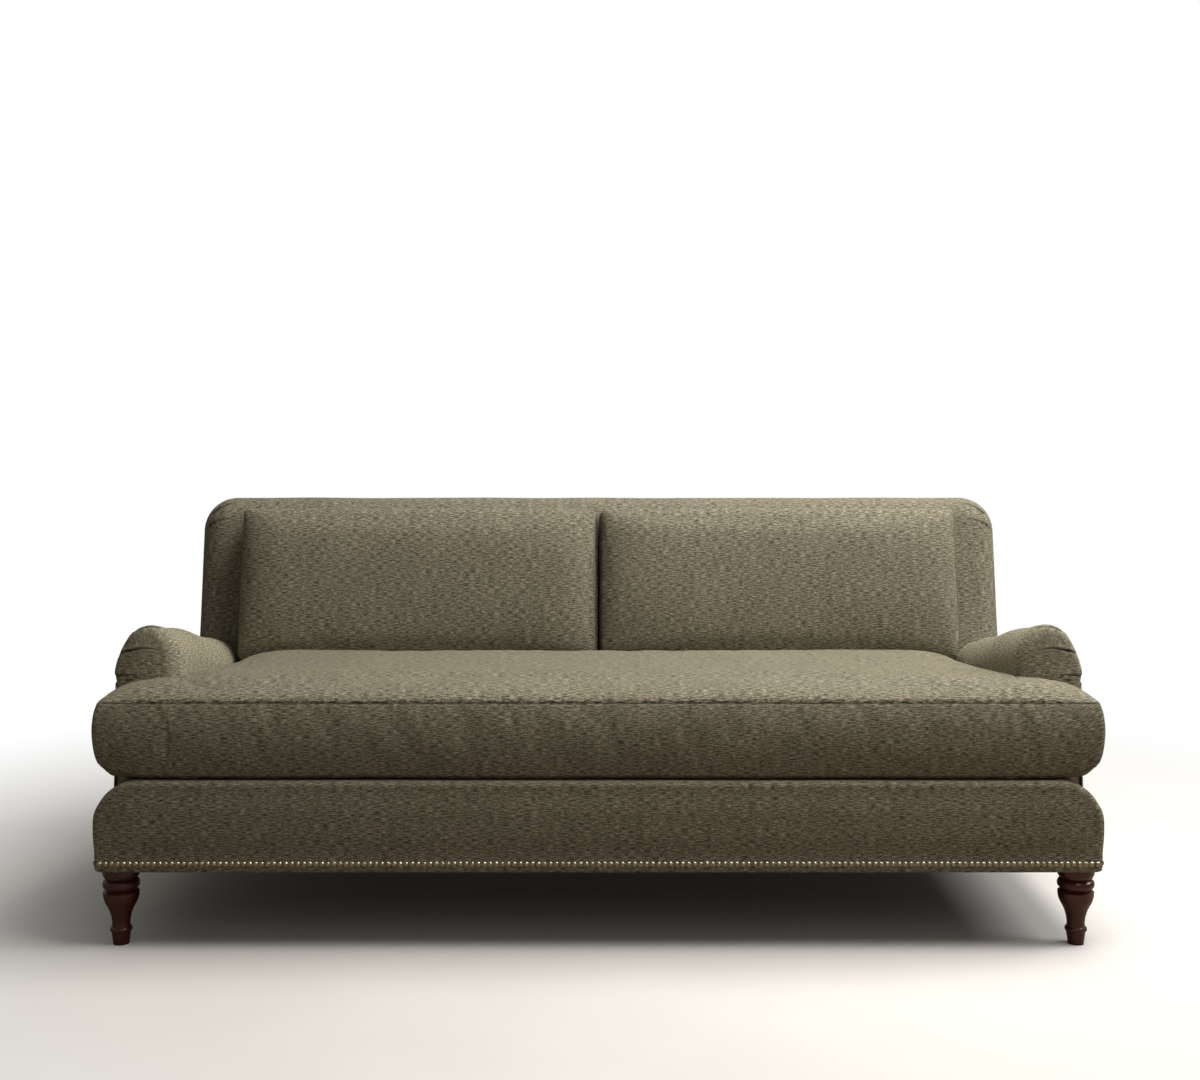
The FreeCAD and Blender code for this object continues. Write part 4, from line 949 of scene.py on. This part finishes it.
def crest_fall(y):
    """How far the arm's crest lies under its front height: the slope less a slow wave, 3 mm up and
    down about a line 1.6 mm over the slope, as the padding under the cloth rises and sinks."""
    d = y - BORDER_LOW[1]
    wave_from, wave_to, rise, height, span = 0.2, 0.72, 0.0016, 0.003, 0.36
    wave = rise + height * np.sin(2 * math.pi * (d - 0.25) / span)
    wave = wave * smooth((d - wave_from) / 0.1) * smooth((wave_to - d) / 0.14)
    return (y - ARM_LOW[1]) * ARM_SLOPE - wave


def make_arm():
    """The right arm: its section carried from a rounded front to the back, falling to the rear.
    Places along the section run from the inner foot over the crown to the outer foot. The front is
    drawn in by a quarter round whose radius shrinks from the inner to the outer side, and closed by
    a cap that swells a little."""
    inner, outer, start, low = ARM_LOW[0], ARM_HIGH[0], ARM_LOW[1], ARM_LOW[2]
    crown_x = inner + ARM_CROWN_IN
    foot_in, foot_out = ARM_CREST - ARM_DROP_IN, ARM_CREST - ARM_DROP_OUT
    up_in, up_out = np.linspace(0, 1, 26)[:-1], np.linspace(1, 0, 34)[1:]
    over_in, over_out = np.linspace(0, 1, 46)[:-1], np.linspace(1, 0, 72)
    in_x, in_z = arm_round(crown_x - inner, ARM_DROP_IN, over_in)
    out_x, out_z = arm_round(outer - crown_x, ARM_DROP_OUT, over_out)
    bulge = form().arm_bulge * smooth(over_out / 0.16) * (1 - over_out) ** 1.2
    x0 = np.concatenate([
        inner + 0 * up_in, crown_x - in_x, crown_x + out_x + bulge, outer + 0 * up_out
    ])
    z0 = np.concatenate([
        low + (foot_in - low) * up_in, foot_in + in_z,
        foot_out + out_z, low + (foot_out - low) * up_out,
    ])
    # the round follows the crest's fall, and the upright sides less and less down to their feet
    follow = np.concatenate([up_in, np.ones(len(over_in) + len(over_out)), up_out])
    dx, dz = np.gradient(x0), np.gradient(z0)
    size = np.hypot(dx, dz)
    away_x, away_z = -dz / size, dx / size
    for upright in (slice(0, len(up_in)), slice(len(x0) - len(up_out), len(x0))):
        away_x[upright], away_z[upright] = np.sign(away_x[upright]), 0
    lengths = run_down(np.column_stack([x0, z0]))
    foot, crown = lengths[len(up_in)], lengths[len(up_in) + len(over_in)]
    nose = np.interp(lengths, (foot, crown, crown + ARM_NOSE_RUN), ARM_NOSES)

    turn = quarter_turn(24)[:, None]
    nose_y = start + 0.0003 + nose * (1 - np.cos(turn))
    draw = nose * (1 - np.sin(turn))
    nose_x = x0 - away_x * draw
    nose_z = z0 - away_z * draw - follow * crest_fall(nose_y)
    # the cap: the first section drawn together to an upright spine in its middle
    spine_top, cap_swell, swells_from = 0.036, 0.0035, 0.49
    pull = (1 - np.linspace(1, 0, 26)[:-1] ** 1.5)[:, None]
    middle = (nose_x[0].min() + nose_x[0].max()) / 2
    spine_z = np.clip(nose_z[0], low, nose_z[0].max() - spine_top)
    cap_x = middle + (nose_x[0] - middle) * pull
    cap_z = spine_z + (nose_z[0] - spine_z) * pull
    cap_y = nose_y[0] - cap_swell * (1 - pull ** 2) * smooth((cap_z - swells_from) / 0.04)
    # the length behind the nose ends in the back's rolled edge, and beyond it at the outer side
    into_back, beyond, outer_side, side_reach = 0.006, 0.07, 0.985, 0.02
    end_y = np.full(len(x0), 0.2)
    for _ in range(6):
        end_y = back_face_y(x0, z0 - follow * crest_fall(end_y)) + into_back
        end_y = end_y + beyond * smooth((x0 - outer_side) / side_reach)
    # even rows as far as 40 mm before the end, and closer ones in the last 30 mm
    late = np.array([0.03, 0.022, 0.016, 0.012, 0.009, 0.006, 0.003, 0.0])[:, None]
    early = np.linspace(0, 1, 60)[1:, None]
    body_y = np.vstack([nose_y[-1] + early * (end_y - nose_y[-1] - 0.04), end_y - late])
    # beyond the back's side the end turns in to it
    turned_in = 1 - np.sqrt(1 - np.clip(1 - late / 0.02, 0, 1) ** 2)
    body_x = np.broadcast_to(x0, body_y.shape).copy()
    body_x[-len(late):] -= np.maximum(x0 - BACK_HIGH[0] + 0.002, 0) * turned_in
    body_z = z0 - follow * crest_fall(body_y)
    grid = np.dstack([np.vstack(rows) for rows in (
        (cap_x, nose_x, body_x), (cap_y, nose_y, body_y), (cap_z, nose_z, body_z)
    )])
    numbers = np.arange(grid[..., 0].size).reshape(grid.shape[:2])
    cloth = np.dstack([run_down(grid), np.broadcast_to(lengths, grid.shape[:2])])
    return grid.reshape(-1, 3), quads(numbers), quads(cloth)


def back_face_y(x, z):
    """Where the inside back's surface lies at a place in the front view: a leaning plane that turns
    away round the rolled edge, as the foot of a circle of the edge's radius."""
    u = BACK_LOW[1]
    across = np.clip(np.abs(x) - (BACK_HIGH[0] - BACK_EDGE), 0, BACK_EDGE)
    u = u + BACK_EDGE - np.sqrt(BACK_EDGE ** 2 - across ** 2)
    r = math.radians(BACK_RAKE)
    w = (z - BACK.origin[2] + u * math.sin(r)) / math.cos(r)
    return BACK.origin[1] + u * math.cos(r) + w * math.sin(r)


def in_front_view(column, row, depth):
    """The place in the front view, at a depth behind the front, that is seen at a picture place."""
    stage = bpy.context.scene.sofa_stage
    reach = (stage.eye_distance + depth) / (stage.lens / SENSOR_MM * IMAGE_WIDTH)
    return (column - MIDDLE_COLUMN) * reach, stage.eye_height - (row - HORIZON_ROW) * reach


# The folds at the left arm's front and the back's left corner, from their open ends, in pixels of
# the picture, each with its weight
ARM_PLEATS = (
    (((133.6, 631.2), (143.3, 627.0), (153.8, 626.3), (161.5, 627.5), (168.5, 630.4)), 0.7),
    (((119.0, 656.8), (121.6, 652.2), (128.8, 650.1), (136.5, 648.6), (144.2, 647.2),
      (151.9, 647.2), (160.0, 649.6)), 1.0),
    (((113.4, 676.9), (119.2, 675.1), (127.9, 673.8), (133.7, 673.5), (143.0, 675.2)), 0.9),
)
BACK_PLEATS = (
    (((213.5, 513.5), (217, 510.3), (222.4, 506.8), (229, 504.2), (238, 502.4)), 0.9),
    (((209.5, 526.5), (214, 523.2), (220.4, 520.2), (226, 518.4), (234, 517.0)), 1.0),
)


def fold_lines(table, depth, *signs):
    """Each fold of a table as a line in the front view, on the right (1), the left (-1) or both."""
    return [
        ([(-sign * x, z) for x, z in (in_front_view(*place, depth) for place in places)], weight)
        for places, weight in table for sign in signs
    ]


def make_arms():
    """Two arms with folds drawn into their rounded fronts, with painted shade in the folds and
    where they meet the back, and their cloth a third lighter, as painted light.
    """
    arms = both_sides(make_arm, "right_arm_fabric", "left_arm_fabric")
    for obj, side, sign, seed in zip(arms, ("right", "left"), (1, -1), (5, 8)):
        settle(obj, seed, 0.0006, 0.17)
        x, y, z = get_points(obj).T
        # the folds end 55 mm behind the arm's front, and 25 mm behind it at the outer side
        reach = 0.055 - 0.03 * smooth((np.abs(x) - 0.97) / 0.02)
        near = smooth((ARM_LOW[1] + reach - y) / 0.035)
        fold_cloth(obj, fold_lines(ARM_PLEATS, 0.15, sign), near)
        # the arms' cloth is a third lighter: painted light, as if more light fell on them
        obj.data.materials[0] = chenille("chenille tweed, rubbed by hands", 1.33)
        # painted shade within 8 mm of the back's face, from the arm's inner side to the back's side
        x, y, z = get_points(obj).T
        inside = np.abs(x) < BACK_HIGH[0] - 0.006
        shade_fold(obj, inside * np.clip(1 - (back_face_y(x, z) - y - 0.001) / 0.007, 0, 1))
        dress(obj, "root", "upholstery", 0.85, f"{side}_arm_cover")


def make_back():
    """The inside back: flat face, rolled edges all round its arch and a band that turns round to
    the rear. The face is the plan, and rows go from the rear lip to the face."""
    wide, top = BACK_HIGH[0] - BACK_EDGE, BACK_HIGH[2] - BACK_EDGE
    low, deep, step = BACK_LOW[2], BACK_HIGH[1] - BACK_LOW[1], 0.016
    near = (0, 0.003, 0.006, 0.009, 0.012, 0.016, 0.02, 0.026, 0.034, 0.046)
    patch = stations(-wide, wide, step, near), stations(low, top, step, near)
    plan = Plan([patch], top_corners(wide, top), BACK_CORNER - BACK_EDGE, (0, low), open_low=low)
    front_turn, rear_turn = quarter_turn(30)[:-1], quarter_turn(16)
    # the rear lip goes on 8 mm inwards from the rear round, and 4.5 mm in front of the back's rear
    lip_in, lip_depth = 0.008, 0.0045
    offsets = np.concatenate([
        [BACK_EDGE - BACK_REAR_EDGE - lip_in], BACK_EDGE - BACK_REAR_EDGE * (1 - np.sin(rear_turn)),
        np.full(16, BACK_EDGE), BACK_EDGE * np.cos(front_turn),
    ])
    depths = np.concatenate([
        [deep - lip_depth], deep - BACK_REAR_EDGE * (1 - np.cos(rear_turn)),
        np.linspace(deep - BACK_REAR_EDGE, BACK_EDGE, 18)[1:-1],
        BACK_EDGE * (1 - np.sin(front_turn)),
    ])
    face = np.zeros(len(plan.points))
    points, faces, uv, _ = boxed_form(plan, offsets, -depths, face, level=True)
    local = np.column_stack([points[:, 0], BACK_LOW[1] - points[:, 2], points[:, 1]])
    obj = put_mesh("back_fabric", BACK.out(local), faces, uv, chenille())
    settle(obj, 31, 0.0006, 0.3)
    x, _, z = get_points(obj).T
    near_corner = smooth((z - 0.74) / 0.02) * smooth((np.abs(x) - 0.86) / 0.03)
    fold_cloth(obj, fold_lines(BACK_PLEATS, 0.85, 1, -1), near_corner)
    dress(obj, "root", "upholstery", 0.85, "inside_back_cover")


# The lower edge of the border and the side panels, how far up it rounds under, and how far in
HEM_LOW, HEM_RISE, HEM_IN = BORDER_LOW[2] - 0.0015, 0.0075, 0.0075


def make_border():
    """The front border: a tight face with small rounded edges, round top corners, sides that run
    back to the arms, and a hem that rounds under and is tacked beneath the rail."""
    edge, corner, tuck, swell_front, swell_side = 0.012, 0.084, 0.022, 0.0045, 0.0035
    wide, top = BORDER_HIGH[0] - edge, BORDER_HIGH[2] - edge
    low, deep = HEM_LOW, BORDER_HIGH[1] - BORDER_LOW[1]
    near = (
        0, 0.002, 0.005, 0.009, 0.014, 0.02, 0.027, 0.035, 0.043, 0.051, 0.059, 0.067, 0.075, 0.083
    )
    xs = stations(-wide, wide, 0.02, near)
    zs = np.concatenate([[low - tuck, low - tuck / 2], stations(low, top, 0.008, near[:9])])
    foot = low - tuck
    plan = Plan([(xs, zs)], top_corners(wide, top), corner - edge, (0, foot), open_low=foot)
    turn = quarter_turn(9)[:-1]
    offsets = np.concatenate([np.full(16, edge), edge * np.cos(turn)])
    depths = np.concatenate([np.linspace(deep, edge, 17)[:-1], edge * (1 - np.sin(turn))])
    face = np.zeros(len(plan.points))
    points, faces, uv, _ = boxed_form(plan, offsets, -depths, face, level=True)
    x, z, back = points[:, 0], points[:, 1], -points[:, 2]
    # the top falls to the rear with the deck, and the lower edge stays level
    z = z - back * math.tan(math.radians(DECK_PITCH)) * smooth((z - low) / (top + edge - low))
    beneath = np.maximum(low - z, 0)
    sideways = np.clip((np.abs(x) - wide) / edge, 0, 1)
    # the padding swells the cloth between the top and 28 mm over the lower edge
    padded = smooth((top - z) / 0.055) * smooth((z - low - 0.028) / 0.05)
    face = smooth((wide - np.abs(x)) / 0.06) * (back < edge)
    y = BORDER_LOW[1] + back - swell_front * face * padded
    out = padded * smooth((deep - back) / 0.04)
    x, y, z = hem(x, y, np.maximum(z, low), BORDER_LOW[1])
    x = x + np.sign(x) * (swell_side * out - beneath) * sideways
    y = y + beneath * np.sqrt(1 - sideways ** 2)
    obj = put_mesh("front_border_fabric", np.column_stack([x, y, z]), faces, uv, chenille())
    dress(obj, "root", "upholstery", 0.95, "front_border_cover")


def hem(x, y, z, front=None):
    """Rounds the lower edge under: below the hem's rise the sides come in by a quarter round, and
    the front, where there is one, by a third of it."""
    t = np.clip((HEM_LOW + HEM_RISE - z) / HEM_RISE, 0, 1)
    pull = 1 - np.sqrt(1 - np.clip(t, 0, 0.995) ** 2)
    side = smooth((np.abs(x) - BORDER_HIGH[0] + 0.06) / 0.06)
    x = x - np.sign(x) * HEM_IN * pull * side
    if front is not None:
        y = y + 0.35 * HEM_IN * pull * smooth((front + 0.02 - y) / 0.02)
    return x, y, z


def panel_form(corners, outward, thick, soft, step=0.02, sag=0.0):
    """A stretched panel over a board: a bilinear sheet between four corners, anticlockwise from
    outside, whose face rises from its edges by a quarter round, and a flat rear joined to it."""
    a, b, c, d = (np.asarray(p, float) for p in corners)
    wide, high = np.linalg.norm(b - a), np.linalg.norm(d - a)
    near = np.array([0, 0.12, 0.3, 0.6, 1.0, 1.5, 2.1, 3.0]) * soft
    s, t = np.meshgrid(stations(0, wide, step, near) / wide, stations(0, high, step, near) / high)
    across, up = s[..., None], t[..., None]
    flat = (1 - up) * ((1 - across) * a + across * b) + up * ((1 - across) * d + across * c)
    rim = np.minimum.reduce([s * wide, (1 - s) * wide, t * high, (1 - t) * high])
    rise = thick * quarter(rim, soft) + sag * quarter(rim, 0.2)
    face = flat + rise[..., None] * np.asarray(outward, float)
    front = quads(np.arange(rim.size).reshape(rim.shape))
    cloth = quads(np.dstack([s * wide, t * high]))
    points, number = join(np.concatenate([face.reshape(-1, 3), flat.reshape(-1, 3)]))
    faces = np.concatenate([front, front[:, ::-1] + rim.size])
    return points, number[faces], np.concatenate([cloth, cloth[:, ::-1]])


# Radius by which the outside arm's front edge turns in towards the arm's front
PANEL_NOSE = 0.018


def make_panels():
    """Outside arms, outside back and the rear of the base, each a stretched cover over a board."""
    front_y, side = PANEL_LOW[1] + 0.0006, PANEL_LOW[0]
    thick, soft = PANEL_HIGH[0] - side, 0.006
    board = node_points("right_outside_arm_panel")
    low_z = board[:, 2].min()
    front_top = board[board[:, 1] < front_y + 0.002][:, 2].max()
    rear = board[board[:, 1].argmax()]
    foot = board[board[:, 2] < low_z + 0.001][:, 1].max()
    places = ((front_y, low_z), (foot, low_z), rear[1:], (front_y, front_top))

    def outside_arm():
        points, faces, uv = panel_form([(side, *place) for place in places], (1, 0, 0), thick, soft)
        # the front edge turns in above the border, where the arm's front is seen beside it
        turn = np.clip(1 - (points[:, 1] - front_y) / PANEL_NOSE, 0, 1)
        over = smooth((points[:, 2] - BORDER_HIGH[2] + 0.03) / 0.05)
        points[:, 0] -= PANEL_NOSE * (1 - np.sqrt(1 - turn ** 2)) * over
        return np.column_stack(hem(*points.T)), faces, uv

    arms = both_sides(outside_arm, "right_outside_arm_fabric", "left_outside_arm_fabric")
    for obj, label in zip(arms, ("right", "left")):
        dress(obj, "root", "upholstery", 0.95, f"{label}_outside_arm_panel")
    for name, node, sag in (
        ("outside_back_fabric", "outside_back_panel", 0.002),
        ("rear_base_fabric", "rear_base_panel", 0.001),
    ):
        low, high = leaning_box(node, BACK)
        corners = np.array([
            (x, low[1], w) for x, w in
            ((high[0], low[2]), (low[0], low[2]), (low[0], high[2]), (high[0], high[2]))
        ])
        made = panel_form(BACK.out(corners), BACK.turn[1], high[1] - low[1], soft, sag=sag)
        dress(put_mesh(name, *made, chenille()), "root", "upholstery", 0.95, node)


def make_deck():
    """The deck cloth under the seat: taut cotton with a sewn line that parts it from the border."""
    low, high = leaning_box("deck_cover", DECK)
    corners = np.array([
        (x, y, low[2]) for x, y in
        ((low[0], low[1]), (high[0], low[1]), (high[0], high[1]), (low[0], high[1]))
    ])
    thick = high[2] - low[2] - 0.0004
    points, faces, uv = panel_form(DECK.out(corners), DECK.turn[2], thick, 0.004, step=0.03)
    local = DECK.into(points)
    seam_from_front, seam_depth, seam_width = 0.11, 0.0012, 0.01
    seam = local[:, 1] - (low[1] + seam_from_front)
    local[:, 2] -= seam_depth * np.exp(-(seam / seam_width) ** 2)
    obj = put_mesh("deck_cloth", DECK.out(local), faces, uv, plain_weave(
        "deck cotton, plain woven", "#3a3726", "#6d6750", 0.0012))
    dress(obj, "root", "deck_cloth", 0.9, "deck_cover")


# ---- Frame finishes -----------------------------------------------------------------------------

def dress_frame():
    """Gives every frame node that stays its real finish."""
    f = finish()
    slots = {}
    for part in frame["record"]["subparts"]:
        slots.setdefault(part["material_slot"], []).append(part["node"])

    def paint(nodes, material):
        for node in nodes:
            materials = frame["nodes"][node].data.materials
            materials.clear()
            materials.append(material)

    # the grain runs along each piece: X across the sofa, Y from front to rear, Z upwards
    upright = [n for n in slots["frame_wood"] if "post" in n or "slats" in n]
    deep = [n for n in slots["frame_wood"] if n not in upright and ("side" in n or "arm" in n)]
    wide = [n for n in slots["frame_wood"] if n not in upright and n not in deep]
    for axis, nodes in enumerate((wide, deep, upright)):
        name = f"poplar, sawn, grain {'xyz'[axis]}"
        paint(nodes, sawn_wood(name, "#a98a5c", "#d3b98c", axis, 0.75))
    for slot, material in {
        "leg_wood": sawn_wood(
            "maple, turned, mahogany stain and lacquer", f.leg_dark, f.leg_light, 2,
            0.3, 0.7, 0.0028),
        "spring_steel": metal("steel wire, drawn", "#6e7074", "#b4b6ba", 0.34, 60),
        "webbing": plain_weave("webbing jute, plain woven", "#6e5838", "#b39a6c", 0.002),
        "foam": cut_foam("polyurethane foam, sawn", "#c9bf97", "#efe8cd"),
        "dust_cloth": plain_weave("dust cover, spunbonded", "#0c0c0c", "#2b2b2b", 0.0014),
        "glide_plastic": moulded_plastic("glide nylon, moulded", "#191715", "#2e2b28"),
        "nail_brass": metal("nailhead brass, antiqued", f.nail_dark, f.nail_bright, 0.3, 300, 0.5),
        "zip_tape": plain_weave("zip tape polyester, woven", "#332f20", "#5c553c", 0.0009),
        "zip_metal": metal("zip slider brass, cast", "#6b5830", "#b59c63", 0.32, 200),
        "upholstery": chenille(),
    }.items():
        paint(slots[slot], material)


# ---- Studio -------------------------------------------------------------------------------------

def stage_material(name, shown, bounced):
    """Painted studio floor: matt, with a soft mottle. The lens sees it pale, and whiter with
    distance until it is the backdrop's white; on the sofa it throws back less, as a room's darker
    floor does."""
    material, tree, bsdf = shader(name, 0.85, Specular_IOR_Level=0.2)
    place = place_of(tree)
    seen = add(tree, "ShaderNodeLightPath").outputs["Is Camera Ray"]
    mottle = noise(tree, place, 3, 3)
    dim, pale = (ramp(tree, mottle, (0.2, pair[0]), (0.8, pair[1])) for pair in (bounced, shown))
    mixed = add(tree, "ShaderNodeMix", {"data_type": "RGBA"}, _0=seen, _6=dim, _7=pale).outputs[2]
    tree.links.new(mixed, bsdf.inputs["Base Color"])
    far = add(tree, "ShaderNodeVectorMath", {"operation": "LENGTH"}, Vector=place).outputs["Value"]
    # the paint turns white between 0.9 and 2.6 m from the middle
    away = add(tree, "ShaderNodeMapRange", {
        "interpolation_type": "SMOOTHSTEP", "From Min": 0.9, "From Max": 2.6,
    }, Value=far).outputs["Result"]
    fade = add(tree, "ShaderNodeMath", {"operation": "MULTIPLY"}, _0=away, _1=seen).outputs[0]
    white = add(tree, "ShaderNodeEmission", {"Color": linear("#ffffff"), "Strength": 1.0})
    both = add(tree, "ShaderNodeMixShader", None, _0=fade, _1=bsdf.outputs[0], _2=white.outputs[0])
    tree.links.new(both.outputs[0], tree.nodes["Material Output"].inputs["Surface"])
    return material


def area_light(name, place, aim, size, watts, tint):
    data = bpy.data.lights.new(name, "AREA")
    data.shape = "RECTANGLE"
    data.size, data.size_y = size
    data.energy = watts
    data.color = linear(tint)[:3]
    light = bpy.data.objects.new(name, data)
    bpy.context.scene.collection.objects.link(light)
    light.location = place
    toward = np.asarray(aim, float) - np.asarray(place, float)
    light.rotation_mode = "QUATERNION"
    light.rotation_quaternion = Vector(toward.tolist()).to_track_quat("-Z", "Y")


def make_world():
    """The studio's surroundings: a dim warm light, which the lens sees as a white backdrop."""
    world = bpy.data.worlds.new("studio")
    bpy.context.scene.world = world
    world.use_nodes = True
    tree = world.node_tree
    tree.nodes.clear()
    path = add(tree, "ShaderNodeLightPath")
    seen = add(tree, "ShaderNodeMath", {"operation": "MAXIMUM"},
               _0=path.outputs["Is Camera Ray"], _1=path.outputs["Is Transmission Ray"])
    light = add(tree, "ShaderNodeBackground", {"Color": linear("#f4eee0"), "Strength": 0.165})
    white = add(tree, "ShaderNodeBackground", {"Color": linear("#ffffff"), "Strength": 1.0})
    mixed = add(tree, "ShaderNodeMixShader", None,
                _0=seen.outputs[0], _1=light.outputs[0], _2=white.outputs[0])
    add(tree, "ShaderNodeOutputWorld", None, Surface=mixed.outputs[0])


def make_lens(settings):
    """The camera of the picture: level, in front of the sofa's middle, with the frame shifted
    down."""
    data = bpy.data.cameras.new("lens")
    data.lens, data.sensor_width = settings.lens, SENSOR_MM
    data.shift_x = (IMAGE_WIDTH / 2 - MIDDLE_COLUMN) / IMAGE_WIDTH
    data.shift_y = -(IMAGE_HEIGHT / 2 - HORIZON_ROW) / IMAGE_WIDTH
    data.clip_start, data.clip_end = 0.05, 100
    camera = bpy.data.objects.new("lens", data)
    bpy.context.scene.collection.objects.link(camera)
    camera.location = (0, float(CAD_BOX[0][1]) - settings.eye_distance, settings.eye_height)
    camera.rotation_euler = (math.pi / 2, 0, 0)
    bpy.context.scene.camera = camera


def make_stage():
    """Pale floor, white backdrop, soft light from overhead, the right and the front, and the
    lens."""
    s = bpy.context.scene.sofa_stage
    paint = stage_material("floor paint, rolled", ("#f1f0ee", "#f7f6f5"), ("#83776a", "#8e8274"))
    corners = 40.0 * np.array([(-1, -1, 0), (1, -1, 0), (1, 1, 0), (-1, 1, 0)])
    put_mesh("floor", corners, np.array([[0, 1, 2, 3]]), np.zeros((1, 4, 2)), paint)
    make_world()
    area_light("overhead", (1.1, -0.35, 3.1), (0.15, 0.0, 0.5), (2.6, 1.8), s.key_power, "#fffaf2")
    area_light("side", (3.2, -0.15, 2.5), (0.0, -0.1, 0.45), (1.6, 1.6), s.side_power, "#fffdf8")
    area_light("front", (0.8, -4.2, 2.6), (0, 0, 0.5), (3.0, 2.2), s.fill_power, "#f4f7ff")
    make_lens(s)
    bpy.context.scene.view_settings.view_transform = "Standard"


# ---- Add-on -------------------------------------------------------------------------------------

class SOFA_OT_seat_cushion(bpy.types.Operator):
    """Make the T-shaped seat cushion"""
    bl_idname = "sofa.seat_cushion"
    bl_label = "Seat cushion"

    def execute(self, context):
        make_seat_cushion()
        return {"FINISHED"}


class SOFA_OT_back_cushions(bpy.types.Operator):
    """Make the two back cushions"""
    bl_idname = "sofa.back_cushions"
    bl_label = "Back cushions"

    def execute(self, context):
        make_back_cushions()
        return {"FINISHED"}


class SOFA_OT_arms(bpy.types.Operator):
    """Make the two rolled arms"""
    bl_idname = "sofa.arms"
    bl_label = "Arms"

    def execute(self, context):
        make_arms()
        return {"FINISHED"}


class SOFA_OT_back(bpy.types.Operator):
    """Make the upholstered back"""
    bl_idname = "sofa.back"
    bl_label = "Back"

    def execute(self, context):
        make_back()
        return {"FINISHED"}


class SOFA_OT_border(bpy.types.Operator):
    """Make the front border"""
    bl_idname = "sofa.border"
    bl_label = "Front border"

    def execute(self, context):
        make_border()
        return {"FINISHED"}


class SOFA_OT_panels(bpy.types.Operator):
    """Make the outside panels and the deck cloth"""
    bl_idname = "sofa.panels"
    bl_label = "Outside panels and deck"

    def execute(self, context):
        make_panels()
        make_deck()
        return {"FINISHED"}


class SOFA_OT_frame(bpy.types.Operator):
    """Give wood, springs, legs, nails and zips their finishes"""
    bl_idname = "sofa.frame_finishes"
    bl_label = "Frame finishes"

    def execute(self, context):
        dress_frame()
        return {"FINISHED"}


class SOFA_OT_stage(bpy.types.Operator):
    """Make the floor, the lights and the lens"""
    bl_idname = "sofa.stage"
    bl_label = "Studio"

    def execute(self, context):
        make_stage()
        return {"FINISHED"}


OPERATORS = (
    SOFA_OT_seat_cushion, SOFA_OT_back_cushions, SOFA_OT_arms, SOFA_OT_back, SOFA_OT_border,
    SOFA_OT_panels, SOFA_OT_frame, SOFA_OT_stage,
)


class SOFA_PT_panel(bpy.types.Panel):
    """Sofa pieces and their settings"""
    bl_idname = "SOFA_PT_panel"
    bl_label = "Roll-arm sofa"
    bl_space_type = "VIEW_3D"
    bl_region_type = "UI"
    bl_category = "Sofa"

    def draw(self, context):
        for operator in OPERATORS:
            self.layout.operator(operator.bl_idname)
        for group in SETTINGS:
            settings = getattr(context.scene, group)
            for name in settings.__annotations__:
                self.layout.prop(settings, name)


SETTINGS = {
    "sofa_form": SofaFormSettings,
    "sofa_finish": SofaFinishSettings,
    "sofa_stage": SofaStageSettings,
}


def register():
    for settings in SETTINGS.values():
        bpy.utils.register_class(settings)
    for operator in (*OPERATORS, SOFA_PT_panel):
        bpy.utils.register_class(operator)
    for name, settings in SETTINGS.items():
        setattr(bpy.types.Scene, name, bpy.props.PointerProperty(type=settings))


def unregister():
    for name in SETTINGS:
        delattr(bpy.types.Scene, name)
    for known in (SOFA_PT_panel, *reversed(OPERATORS), *SETTINGS.values()):
        bpy.utils.unregister_class(known)


def main():
    register()
    for operator in OPERATORS:
        group, name = operator.bl_idname.split(".")
        getattr(getattr(bpy.ops, group), name)()


if __name__ == "__main__":
    main()
